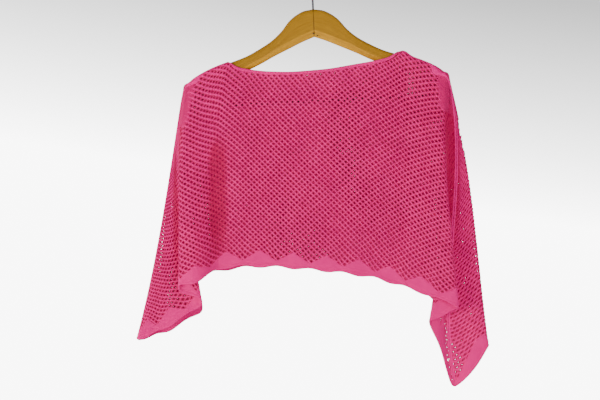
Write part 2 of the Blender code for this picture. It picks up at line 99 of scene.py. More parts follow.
# Top and underside of the hanger's arm, before it is tilted: x, top, bottom
ARM_PROFILE = (
    (0.0002, -0.0748, -0.1215),
    (0.0150, -0.0770, -0.1270),
    (0.0280, -0.0830, -0.1325),
    (0.0410, -0.0930, -0.1385),
    (0.0550, -0.1098, -0.1448),
    (0.0710, -0.1240, -0.1523),
    (0.0920, -0.1370, -0.1630),
    (0.1160, -0.1490, -0.1735),
    (0.1400, -0.1572, -0.1815),
    (0.1650, -0.1650, -0.1890),
    (0.1900, -0.1755, -0.1965),
    (0.2060, -0.1845, -0.2025),
    (0.2160, -0.1925, -0.2070),
)

# Neckline from the left corner to the right one: distance along it, x, drop below
# the straight line between the corners, depth in front of the hanger's middle
NECKLINE = (
    ("left corner", -0.1490, -0.1470, 0.0000, 0.0000),
    ("by left corner", -0.1440, -0.1420, 0.0022, 0.0020),
    ("over left arm", -0.1380, -0.1360, 0.0064, 0.0050),
    ("down left arm", -0.1290, -0.1270, 0.0108, 0.0080),
    ("left slope", -0.1180, -0.1160, 0.0139, 0.0098),
    ("left run", -0.0800, -0.0780, 0.0205, 0.0110),
    ("lowest", -0.0350, -0.0340, 0.0236, 0.0125),
    ("middle", 0.0100, 0.0100, 0.0229, 0.0130),
    ("right run", 0.0650, 0.0650, 0.0177, 0.0120),
    ("right slope", 0.1180, 0.1180, 0.0103, 0.0098),
    ("down right arm", 0.1290, 0.1285, 0.0060, 0.0080),
    ("over right arm", 0.1380, 0.1372, 0.0015, 0.0050),
    ("by right corner", 0.1440, 0.1431, 0.0003, 0.0020),
    ("right corner", 0.1490, 0.1480, 0.0000, 0.0000),
)

# Folds of the hung cloth, two rows for a fold's nose: the place along the knitted hem,
# how softly the cloth bends there, x and y at a third and at two thirds of the way
# down, and x, y and z at the hem
FRONT_FOLDS = (
    ("left seam", -0.455, 0.006, -0.2372, 0.000, -0.2616, 0.000, -0.2940, 0.000, -0.629),
    ("by left seam", -0.441, 0.006, -0.2362, -0.004, -0.2593, -0.005, -0.2900, -0.0055, -0.631),
    ("left drape", -0.375, 0.014, -0.2310, -0.007, -0.2390, -0.009, -0.2420, -0.010, -0.609),
    ("left inner fold", -0.316, 0.006, -0.2220, -0.0125, -0.2050, -0.013, -0.1820, -0.014, -0.571),
    ("left inner nose", -0.293, 0.006, -0.2205, -0.0165, -0.2050, -0.023, -0.1820, -0.024, -0.561),
    ("left front fold", -0.252, 0.006, -0.2195, -0.0235, -0.2190, -0.025, -0.2190, -0.026, -0.546),
    ("left front nose", -0.228, 0.006, -0.2150, -0.0300, -0.2185, -0.034, -0.2185, -0.036, -0.537),
    ("left ridge", -0.190, 0.011, -0.1850, -0.027, -0.1850, -0.037, -0.1820, -0.039, -0.529),
    ("left trough", -0.158, 0.012, -0.1570, -0.009, -0.1570, -0.004, -0.1560, -0.008, -0.509),
    ("left of middle", -0.102, 0.024, -0.1010, -0.016, -0.1010, -0.019, -0.1000, -0.021, -0.503),
    ("middle", 0.000, 0.030, 0.0000, -0.014, 0.0000, -0.016, 0.0000, -0.018, -0.5112),
    ("right of middle", 0.094, 0.030, 0.0910, -0.015, 0.0910, -0.018, 0.0910, -0.020, -0.520),
    ("right run", 0.176, 0.020, 0.1610, -0.018, 0.1610, -0.022, 0.1610, -0.026, -0.5410),
    ("right front nose", 0.252, 0.006, 0.2225, -0.0290, 0.2315, -0.034, 0.2430, -0.036, -0.571),
    ("right front fold", 0.276, 0.006, 0.2235, -0.0210, 0.2315, -0.0245, 0.2430, -0.0255, -0.577),
    ("right inner nose", 0.322, 0.006, 0.2245, -0.0170, 0.2150, -0.0215, 0.1970, -0.023, -0.595),
    ("right inner fold", 0.346, 0.006, 0.2270, -0.0105, 0.2150, -0.0115, 0.1970, -0.012, -0.605),
    ("right inner drape", 0.368, 0.006, 0.2293, -0.0086, 0.2172, -0.0096, 0.2105, -0.010, -0.627),
    ("right seam", 0.455, 0.010, 0.2385, -0.001, 0.2260, -0.002, 0.2390, -0.003, -0.719),
)
BACK_FOLDS = (
    ("by left seam", -0.441, 0.006, -0.2362, 0.004, -0.2593, 0.005, -0.2900, 0.0055, -0.631),
    ("left drape", -0.375, 0.014, -0.2290, 0.007, -0.2400, 0.009, -0.2420, 0.010, -0.618),
    ("left inner fold", -0.316, 0.006, -0.2220, 0.0125, -0.2050, 0.013, -0.1845, 0.014, -0.584),
    ("left inner nose", -0.293, 0.006, -0.2205, 0.0165, -0.2050, 0.023, -0.1845, 0.024, -0.574),
    ("left back fold", -0.252, 0.006, -0.2195, 0.0235, -0.2170, 0.025, -0.2140, 0.026, -0.553),
    ("left back nose", -0.228, 0.006, -0.2150, 0.0300, -0.2165, 0.034, -0.2135, 0.036, -0.541),
    ("left run", -0.182, 0.014, -0.1780, 0.022, -0.1780, 0.027, -0.1760, 0.030, -0.519),
    ("left of middle", -0.100, 0.030, -0.1000, 0.016, -0.0990, 0.018, -0.0980, 0.021, -0.5065),
    ("middle", 0.000, 0.030, 0.0000, 0.014, 0.0000, 0.016, 0.0000, 0.018, -0.5125),
    ("right of middle", 0.100, 0.030, 0.0970, 0.016, 0.0970, 0.019, 0.0970, 0.021, -0.5245),
    ("right run", 0.192, 0.018, 0.1780, 0.020, 0.1790, 0.024, 0.1800, 0.027, -0.545),
    ("right back fold", 0.240, 0.014, 0.2220, 0.024, 0.2200, 0.029, 0.2140, 0.032, -0.570),
    ("right back run", 0.300, 0.014, 0.2340, 0.021, 0.2350, 0.028, 0.2370, 0.032, -0.622),
    ("right back drape", 0.355, 0.010, 0.2480, 0.015, 0.2590, 0.021, 0.2660, 0.024, -0.692),
    ("right outer fold", 0.388, 0.006, 0.2675, 0.0105, 0.2830, 0.014, 0.3000, 0.016, -0.646),
    ("right outer nose", 0.408, 0.006, 0.2675, 0.0030, 0.2830, 0.003, 0.3000, 0.003, -0.640),
    ("right front drape", 0.430, 0.010, 0.2500, 0.000, 0.2540, -0.003, 0.2700, -0.004, -0.684),
)

# The folds are softer near the arm's end, a third and two thirds of the way down
THIRD_SOFTER = 3.0
LOWER_SOFTER = 1.4

# How far on each side the folds are softened, in softnesses, and in how many steps
SOFT_REACH = 2.2
SOFT_STEPS = 11

# Where the right neck corner stands up off the arm: x, height and reach
CORNER_PEAK = (0.1500, 0.0060, 0.0090)

# Care label on the inside of the back: places along the hem cut and below the shoulder
LABEL_WIDTH = 0.0190
LABEL_HEIGHT = 0.0380
LABEL_THICKNESS = 0.00048
LABEL_CUT = 0.1800
LABEL_DROP = 0.0320
LABEL_SLANT = 0.14
LABEL_CLEAR = 0.0013
LABEL_WAVE = 0.0006
LABEL_GRID = (15, 25)


def monotone_curve(places, values, wanted):
    """A smooth curve through rows of values with no overshoot between them."""
    places = np.asarray(places, float)
    values = np.asarray(values, float)
    step = np.diff(places)
    slope = np.diff(values) / step
    same_way = slope[:-1] * slope[1:] > 0
    weight_a = 2 * step[1:] + step[:-1]
    weight_b = step[1:] + 2 * step[:-1]
    safe = np.where(same_way, slope[:-1], 1.0), np.where(same_way, slope[1:], 1.0)
    mean = (weight_a + weight_b) / (weight_a / safe[0] + weight_b / safe[1])
    tangent = np.concatenate([[slope[0]], np.where(same_way, mean, 0.0), [slope[-1]]])
    wanted = np.clip(wanted, places[0], places[-1])
    at = np.clip(np.searchsorted(places, wanted, side="right") - 1, 0, len(step) - 1)
    h = step[at]
    u = (wanted - places[at]) / h
    return (
        values[at] * (1 + 2 * u) * (1 - u) ** 2
        + tangent[at] * h * u * (1 - u) ** 2
        + values[at + 1] * u**2 * (3 - 2 * u)
        + tangent[at + 1] * h * u**2 * (u - 1)
    )


def tilted(points):
    """Points of the level hanger, turned about the hook to its tilt as hung."""
    x, y, z = points[..., 0], points[..., 1], points[..., 2]
    cos, sin = math.cos(TILT), math.sin(TILT)
    return np.stack([x * cos - z * sin, y, x * sin + z * cos], axis=-1)


def arm_height(x, column):
    """Height of the arm's top, column 1, or of its underside, column 2."""
    table = np.array(ARM_PROFILE)
    return monotone_curve(table[:, 0], table[:, column], abs(x))


# The ring of folds: it runs along the front from left to right and back along the back
def ring_rows():
    full = 2 * HALF_HEM
    rows = [row[1:] for row in FRONT_FOLDS]
    rows += [(full - row[1], *row[2:]) for row in reversed(BACK_FOLDS)]
    rows = np.array(rows)
    before, after = rows[-3:].copy(), rows[:3].copy()
    before[:, 0] -= 2 * full
    after[:, 0] += 2 * full
    return np.concatenate([before, rows, after])


RING = ring_rows()


def softness(ring):
    return np.interp(ring, RING[:, 0], RING[:, 1])


def fold_values(ring, column, softer):
    """One column of the folds at places of the ring: straight between rows, then softened."""
    shifts = np.linspace(-SOFT_REACH, SOFT_REACH, SOFT_STEPS)
    weights = np.exp(-(shifts**2) / 2)
    soft = softness(ring) * softer
    total = 0.0
    for shift, weight in zip(shifts, weights / weights.sum()):
        total = total + weight * np.interp(ring + shift * soft, RING[:, 0], RING[:, column])
    return total


def crest_line(x):
    """Height of the cloth's middle surface over the arm's top, in the level hanger."""
    peak = CORNER_PEAK[1] * np.exp(-(((x - CORNER_PEAK[0]) / CORNER_PEAK[2]) ** 2))
    return arm_height(x, 1) + CREST_RADIUS - ARM_THICKNESS / 2 + peak


def shape_of(ring):
    """What a column of the cloth is made of, from its upper edge to its hem.

    The upper edge is the neckline between the corners, and the arm's top past them.
    It rounds the arm on a great circle from start to out, then hangs to the hem.
    """
    back = ring > HALF_HEM
    cut = np.where(back, 2 * HALF_HEM - ring, ring)
    side = np.where(back, 1.0, -1.0)
    hand = np.sign(cut)
    fold = np.where(cut < 0, FOLD_LEFT, np.where(back, BACK_FOLD_RIGHT, FRONT_FOLD_RIGHT))
    along = np.clip(cut / fold, -1, 1) * (HALF_NECK + SHOULDER_RUN)
    fan = np.clip((abs(cut) - fold) / (HALF_HEM - fold), 0, 1)

    table = np.array([row[1:] for row in NECKLINE])
    corner_left, corner_right = table[0, 1], table[-1, 1]
    corner = np.where(along < 0, corner_left, corner_right)
    past = np.clip((abs(along) - HALF_NECK) / SHOULDER_RUN, 0, 1)
    shoulder_x = corner + (hand * (ARM_TIP - 0.0070) - corner) * past
    neck_x = monotone_curve(table[:, 0], table[:, 1], along)
    in_neck = abs(along) < HALF_NECK
    x = np.where(in_neck, neck_x, shoulder_x)
    crest = crest_line(x)
    level = crest_line(corner_left) + (crest_line(corner_right) - crest_line(corner_left)) * (
        (x - corner_left) / (corner_right - corner_left)
    )
    drop = np.where(in_neck, crest - level + monotone_curve(table[:, 0], table[:, 2], along), 0.0)
    drop = np.maximum(drop, 0.0)
    depth = np.where(in_neck, monotone_curve(table[:, 0], table[:, 3], along), 0.0)

    touching = drop < CREST_RADIUS
    lean = np.arccos(np.clip(1 - drop / CREST_RADIUS, 0, 1))
    start_angle = NOSE_START * fan
    start = np.stack(
        [hand * np.sin(start_angle), side * np.sin(lean), np.cos(start_angle) * np.cos(lean)], axis=-1
    )
    out_angle = math.pi / 2 * fan
    out = np.stack([hand * np.sin(out_angle), side * np.cos(out_angle), 0 * fan], axis=-1)
    turn_angle = np.arccos(np.clip((start * out).sum(-1), -1, 1))
    turn_angle = np.where(touching, turn_angle, 0.0)
    axis_height = np.where(touching, crest - CREST_RADIUS, crest - drop)
    centre = np.stack([x, 0 * x, axis_height], axis=-1)
    clear = np.clip((drop - CREST_RADIUS) / CREST_RADIUS, 0, 1)
    reach = CREST_RADIUS + np.maximum(depth - CREST_RADIUS, 0) * clear
    bottom = tilted(centre + out * reach[..., None])

    softer = (THIRD_SOFTER, THIRD_SOFTER, LOWER_SOFTER, LOWER_SOFTER, 1, 1, 1)
    at = [fold_values(ring, column, more) for column, more in enumerate(softer, 2)]
    hem = np.stack([at[4], at[5], at[6]], axis=-1)
    fall = hem[..., 2] - bottom[..., 2]
    third = np.stack([at[0], at[1], bottom[..., 2] + fall / 3], axis=-1)
    lower = np.stack([at[2], at[3], bottom[..., 2] + fall * 2 / 3], axis=-1)
    hang = sum(np.linalg.norm(b - a, axis=-1) for a, b in ((bottom, third), (third, lower), (lower, hem)))
    return start, out, turn_angle, centre, bottom, third, lower, hem, hang


def cloth_length(ring):
    """Length of the cloth from its upper edge to its hem at places of the ring."""
    shape = shape_of(ring)
    return shape[2] * CREST_RADIUS + shape[-1]


def cloth_and_radial(ring, gone):
    """Points of the cloth, the directions out of the arm's axis, and where it lies on the arm.

    Over the arm it is a great circle. Below it is the cubic through four points: the
    circle's end, the fold's places a third and two thirds down, and the hem.
    """
    ring = np.where(ring < -HALF_HEM, ring + 4 * HALF_HEM, ring)
    ring = np.where(ring > 3 * HALF_HEM, ring - 4 * HALF_HEM, ring)
    start, out, turn_angle, centre, bottom, third, lower, hem, hang = shape_of(ring)
    turn = turn_angle * CREST_RADIUS
    share = (np.maximum(gone - turn, 0.0) / hang)[..., None]
    a, b = 1 / 3, 2 / 3
    down = (
        bottom * (share - a) * (share - b) * (share - 1) * -4.5
        + third * share * (share - b) * (share - 1) * 13.5
        + lower * share * (share - a) * (share - 1) * -13.5
        + hem * share * (share - a) * (share - b) * 4.5
    )
    part = np.clip(gone / CREST_RADIUS, 0, turn_angle)
    sine = np.sin(np.maximum(turn_angle, 1e-6))
    from_start, from_out = np.sin(turn_angle - part) / sine, np.sin(part) / sine
    direction = start * from_start[..., None] + out * from_out[..., None]
    over = gone < turn
    points = np.where(over[..., None], tilted(centre + direction * CREST_RADIUS), down)
    side = np.where(ring > HALF_HEM, 1.0, -1.0)
    points[..., 1] += side * SEAM_GAP / 2 * np.clip(1 - share[..., 0] * 3, 0, 1)
    return points, tilted(direction), over


def cloth(ring, gone):
    """Points of the cloth's middle surface, at a distance gone below the upper edge."""
    return cloth_and_radial(ring, gone)[0]


def normals(ring, gone):
    """Directions out of the cloth: out of the arm's axis, or from points to each side."""
    step = NORMAL_STEP
    along = cloth(ring + step, gone) - cloth(ring - step, gone)
    up = cloth(ring, np.maximum(gone - step, 0)) - cloth(ring, gone + step)
    crossed = np.cross(along, up)
    length = np.linalg.norm(crossed, axis=-1, keepdims=True)
    radial, over = cloth_and_radial(ring, gone)[1:]
    return np.where(over[..., None], radial, crossed / np.maximum(length, 1e-12))


def fold_right(side):
    return FRONT_FOLD_RIGHT if side == "front" else BACK_FOLD_RIGHT


def neck_corners(side):
    """Places along the hem cut of the columns that start at the neckline's corners."""
    part = HALF_NECK / (HALF_NECK + SHOULDER_RUN)
    return -FOLD_LEFT * part, fold_right(side) * part


def on_ring(cut, side):
    """Places round the ring, in the order that keeps the cloth's outside outwards."""
    return cut if side == "front" else 2 * HALF_HEM - cut


def scallop(cut):
    """How far the hem reaches below its mean line: an even wave, lowest under each point."""
    return SCALLOP_DEPTH / 2 * np.cos((cut - SCALLOP_START) / SCALLOP_PITCH * 2 * math.pi)


def band_height(cut, side):
    """The neckband's height, tapered towards the neck's corners."""
    left, right = neck_corners(side)
    from_corner = np.minimum(cut - left, right - cut)
    share = np.clip(from_corner / BAND_TAPER, 0, 1)
    return BAND_TIP + (NECKBAND_HEIGHT - BAND_TIP) * share


def along_seam(ring, gone):
    """How much more cloth a seam's gap takes where the cloth runs slanting to the seam."""
    line = cloth(ring, gone)
    above = line - cloth(ring, gone - NEAR)
    run = np.gradient(line, axis=0)
    across = np.linalg.norm(np.cross(run, above), axis=-1) / np.linalg.norm(run, axis=-1)
    return 1 / np.clip(across / NEAR, LEAST_ACROSS, 1)


# The cut: front and back are the same flat piece, hem at the bottom
CUT_LENGTH = 0.330
SIDE_SLOPE = math.atan2(CUT_LENGTH, HALF_HEM - HALF_NECK)
TRIANGLE_HEIGHT = 0.0165

# How finely the cut is sampled: along the hem, and the rows and columns of its tables
HEM_SAMPLES = 1601
CUT_ROWS = 133
CUT_COLUMNS = 401
EVENED_ROWS = 261
EVENED_COLUMNS = 1201

# The shares of the way down where the hung cloth's width is measured, how many samples
# along the hem it is smoothed over, and how many give its value past each end
WIDTH_PARTS = (0.55, 0.75, 0.95)
WIDTH_SMOOTHING = 91
WIDTH_ENDS = 20

# The widest an evened row of holes reaches from the middle, and the limits of how much
# wider or longer than its cut the cloth may be taken to hang
EVENED_HALF = 0.75
LEAST_WIDENING = 0.80
MOST_WIDENING = 1.60
MOST_RISE = 2.20

# The solid triangle's least height, how far the net runs on under the solid knitting, how
# much of a triangle's height the rows of holes rise over it, and where that has faded out
LEAST_POINT = 0.0012
NET_UNDER_SOLID = 0.0050
ROWS_LIFT = 0.80
ROWS_FADE = 0.075

# Heights of the lower strand of a crossing and of the knots, as shares of the strand's
# height, and how uneven the heights are
LOW_STRAND = 0.60
KNOT_STRAND = 0.86
STRAND_UNEVENNESS = 0.16

# In hole pitches: how far past the slanting side a cell's middle may lie, how near to it a
# middle is kept, and where the holes near it are closed to a tenth and fully open
SIDE_REACH = 0.55
SIDE_LEAST = 0.25
SIDE_CLOSED = (0.10, 0.45)
LEAST_OPEN = 0.10

# How far over the upper edge a cell may lie, in row pitches, and how much a cell may be
# pulled or squeezed before its hole's size stops following
TOP_REACH = 0.80
PULL_LIMITS = (0.85, 2)

# The edge strand: half its width and height, how many rings it has, how far it stops short
# of the hem and the neck, what share of its width its rings take, and how much wider it is
# at the arm's end and over what reach
EDGE_STRAND = (0.0017, 0.0011)
EDGE_RINGS = 240
EDGE_SHORT = (0.004, 0.002)
EDGE_INSET = 0.95
FAN_WIDER = 2.6
FAN_REACH = 0.0100

# Round the arm's end: the longest edge a cell may have, the zone below the upper edge and
# past a place along the hem where longer ones are left out, and the patch in their place
LONGEST_AT_END = 0.0080
END_ZONE = 0.075
END_FROM = 0.150
END_OVERLAP = 0.0060
END_COLUMNS = 36
END_ROWS = 26
END_TOP = 0.0010
END_WALL = 0.0006
# Painted shade on the patch: its strand value paints it part way to the shade colour, standing in for the
# dark holes
END_PAINTED_SHADE = 0.50

# How open the holes are: place along the hem cut and share of the full size. The back's
# are nearly closed behind the front's, or the wall would show through both
OPENNESS = {
    "front": ((-0.42, 0.55), (-0.36, 0.75), (-0.22, 0.86), (0.25, 0.86), (0.33, 0.48), (0.42, 0.30)),
    "back": (
        (-0.42, 0.42),
        (-0.36, 0.05),
        (0.22, 0.05),
        (0.33, 0.30),
        (0.39, 0.66),
        (0.415, 0.50),
        (0.44, 0.28),
    ),
}

# Distances below the upper edge, and the share of that size there
SHOULDER_OPENNESS = ((0.004, 0.050), (0.42, 1.0))

# Painted shade where folds keep the light out: place along the hem cut, half width, shares
# of the way down where it starts and ends, and how much of the raised strands' painted light is lost
FOLD_SHADE = {
    "front": (
        (-0.346, 0.014, 0.12, 0.95, 0.60),
        (-0.262, 0.016, 0.10, 0.78, 0.55),
        (-0.158, 0.015, 0.34, 1.00, 0.80),
        (0.372, 0.090, 0.05, 0.66, 0.95),
    ),
    "back": (
        (-0.262, 0.016, 0.10, 0.78, 0.55),
        (-0.100, 0.016, 0.45, 0.98, 0.25),
        (0.270, 0.024, 0.10, 0.80, 0.45),
        (0.450, 0.014, 0.05, 0.60, 0.80),
    ),
}

# The shares of the way down over which a fold's painted shade comes and goes
SHADE_COMES = 0.12
SHADE_GOES = 0.25

# The studio: a light's name, place, aim, size, power and colour
LIGHTS = (
    ("key", (-2.1, -1.9, -0.75), (0.0, 0.0, -0.42), 1.2, 90.0, (1.0, 0.99, 0.98)),
    ("fill", (1.9, -1.9, -0.6), (0.05, 0.0, -0.45), 1.4, 42.0, (1.0, 0.99, 0.98)),
    ("left edge", (-1.7, 0.3, -0.4), (-0.1, 0.0, -0.4), 0.9, 22.0, (0.90, 0.70, 1.0)),
)
WORLD_LIGHT = (0.97, 0.97, 1.0, 1.0)
WORLD_STRENGTH = 0.42

# The wall that the camera sees: its brightness in doublings, level, and how many more for
# each unit of the direction to the right and up
WALL_LEVEL = 3.3
WALL_RIGHT = -2.6
WALL_UP = -17.0
WALL_MOST = 3.1
WALL_COLOUR = (1.0, 1.0, 1.0, 1.0)
FLOOR_COLOUR = (0.80, 0.80, 0.79, 1.0)

# Knitting: how far a stitch leans, stitches for each of its widths along, how fine the
# fuzz and the uneven dye are, and how high the fuzz stands beside a stitch
STITCH_LEAN = 1.5
STITCH_RATE = 1.25
FUZZ_SCALE = 1900.0
DYE_SCALE = 22.0
FUZZ_HEIGHT = 0.35

# The yarn's finish, and a painted glow: the yarn gives off a little light of its own colour, standing in
# for the light that loose yarn lets through from behind
YARN_FINISH_AND_PAINTED_GLOW = {
    "Roughness": 0.85,
    "Sheen Weight": 0.10,
    "Sheen Roughness": 0.4,
    "Sheen Tint": (1.0, 0.62, 0.80, 1.0),
    "Specular IOR Level": 0.08,
    "Emission Strength": 0.16,
}

# How fine each drawn-out pattern is, along and across
RING_SCALE = (5.0, 95.0)
PORE_SCALE = (60.0, 2200.0)
SCRATCH_SCALE = (30.0, 1800.0)
THREAD_SCALE = (9000.0, 5200.0)

# Small parts of the hanger. Turns are in degrees, and HOOK_SWING is how far the hook's
# swing runs straight on from each of its ends
HOOK_STEM_TOP = -0.0560
HOOK_SWING = 0.0280
HOOK_CURL = (-28, 205)
CURL_POINTS = 80
SWING_POINTS = 24
STEM_POINTS = 6
HOOK_IN_WOOD = 0.004
BAR_IN_WOOD = 0.002
BAR_BEND_POINTS = 14
BAR_RISE_POINTS = 3
NAIL_RADIUS = 0.0012
NAIL_LIFTS = (4, 100, 8)
NAIL_AROUND = 14
NAIL_FLATNESS = 0.5
NAILS = ((0.0040, -0.0054, -0.1158), (0.0104, -0.0054, -0.1196))

# Columns of the solid knitting: 26 for each of the hem's 16 scallops, and the neckband's
HEM_COLUMNS = 16 * 26 + 1
BAND_COLUMNS = 241

# Profiles of the cloth's solid parts, a row for each place: share or metres from the
# hem or band edge, half thickness
HEM_PROFILE = (
    (0.0000, 0.00015),
    (0.0003, 0.00085),
    (0.0010, 0.00135),
    (0.0022, 0.00150),
    (0.0036, 0.00140),
    (0.0046, 0.00090),
    (0.0054, 0.00075),
    (0.0064, 0.00115),
    (0.0078, 0.00125),
    (0.0090, 0.00120),
)
POINT_PROFILE = ((0.25, 0.00120), (0.50, 0.00120), (0.75, 0.00118), (0.93, 0.00112), (1.0, 0.00085))
BAND_PROFILE = (
    (0.00, 0.00020),
    (0.06, 0.00080),
    (0.18, 0.00125),
    (0.36, 0.00145),
    (0.56, 0.00140),
    (0.74, 0.00110),
    (0.86, 0.00090),
    (1.00, 0.00070),
)


def colour_prop(name, description, default):
    return bpy.props.FloatVectorProperty(
        name=name, description=description, default=default, subtype="COLOR", size=4, min=0.0, max=1.0
    )


def length_prop(name, description, default):
    return bpy.props.FloatProperty(
        name=name, description=description, default=default, subtype="DISTANCE", unit="LENGTH", precision=4
    )


def share_prop(name, description, default, most=1.0):
    return bpy.props.FloatProperty(
        name=name, description=description, default=default, min=0.0, max=most, subtype="FACTOR"
    )


class ClothSettings(bpy.types.PropertyGroup):
    yarn_colour: colour_prop("Yarn", "Colour of the yarn", (0.97, 0.0, 0.26, 1.0))
    # Painted shade: the yarn's colour down in the net and in the stitches' hollows, mixed in where shade
    # falls
    painted_shade_colour: colour_prop("Deep yarn", "Colour of the yarn down in the net", (0.50, 0.0, 0.075, 1.0))
    border_colour: colour_prop("Border", "Colour of the solid knitting", (0.85, 0.0, 0.215, 1.0))
    label_colour: colour_prop("Label", "Colour of the woven label", (0.90, 0.89, 0.90, 1.0))
    hole_pitch: length_prop("Hole pitch", "Distance between holes along a row", 0.00915)
    row_pitch: length_prop("Row pitch", "Distance from a row of holes to the second row up", 0.00885)
    hole_width: length_prop("Hole half width", "Half the width of a hole", 0.00160)
    hole_height: length_prop("Hole half height", "Half the height of a hole", 0.00128)
    strand_height: length_prop("Strand height", "From the cloth's middle to a strand's top", 0.00105)
    unevenness: share_prop("Unevenness", "How much the holes vary in size", 0.16)
    hole_slant: bpy.props.FloatProperty(
        name="Hole slant",
        description="Turn of the oval holes",
        default=math.radians(-24),
        subtype="ANGLE",
        unit="ROTATION",
    )


class HangerSettings(bpy.types.PropertyGroup):
    light_wood: colour_prop("Light wood", "Colour between the rings of the wood", (0.37, 0.180, 0.006, 1.0))
    dark_wood: colour_prop("Dark wood", "Colour of the rings of the wood", (0.26, 0.115, 0.004, 1.0))
    wire_colour: colour_prop("Wire", "Colour of the hook's metal", (0.13, 0.13, 0.135, 1.0))
    bar_colour: colour_prop("Bar", "Colour of the trouser bar", (0.055, 0.045, 0.045, 1.0))
    varnish: share_prop("Varnish", "Weight of the clear varnish", 0.08)
    # Painted light: how much lighter the downward-facing bevel is painted, standing in for light from below
    painted_bevel_light: share_prop("Bevel", "How much lighter the planed bevel is", 1.45, 3.0)


class StudioSettings(bpy.types.PropertyGroup):
    camera_distance: length_prop("Camera distance", "From the hanger's middle plane to the camera", 2.0)
    camera_across: length_prop("Camera across", "Camera to the right of the hook", -0.0185)
    camera_height: length_prop("Camera height", "Camera above the hook's inside top", -0.3951)
    focal_length: bpy.props.FloatProperty(
        name="Focal length",
        description="Lens for a sensor 36 mm wide",
        default=71.43,
        min=10.0,
        unit="CAMERA",
    )
    floor_height: length_prop("Floor height", "Floor above the hook's inside top", -1.25)
    floor_size: length_prop("Floor size", "Side of the square floor", 4.4)


def between(table, row, column):
    """Values of a table between its rows and columns, straight along each."""
    i, j = row.astype(int), column.astype(int)
    up, on = row - i, column - j
    lower = table[i, j] * (1 - on) + table[i, j + 1] * on
    upper = table[i + 1, j] * (1 - on) + table[i + 1, j + 1] * on
    return lower * (1 - up) + upper * up


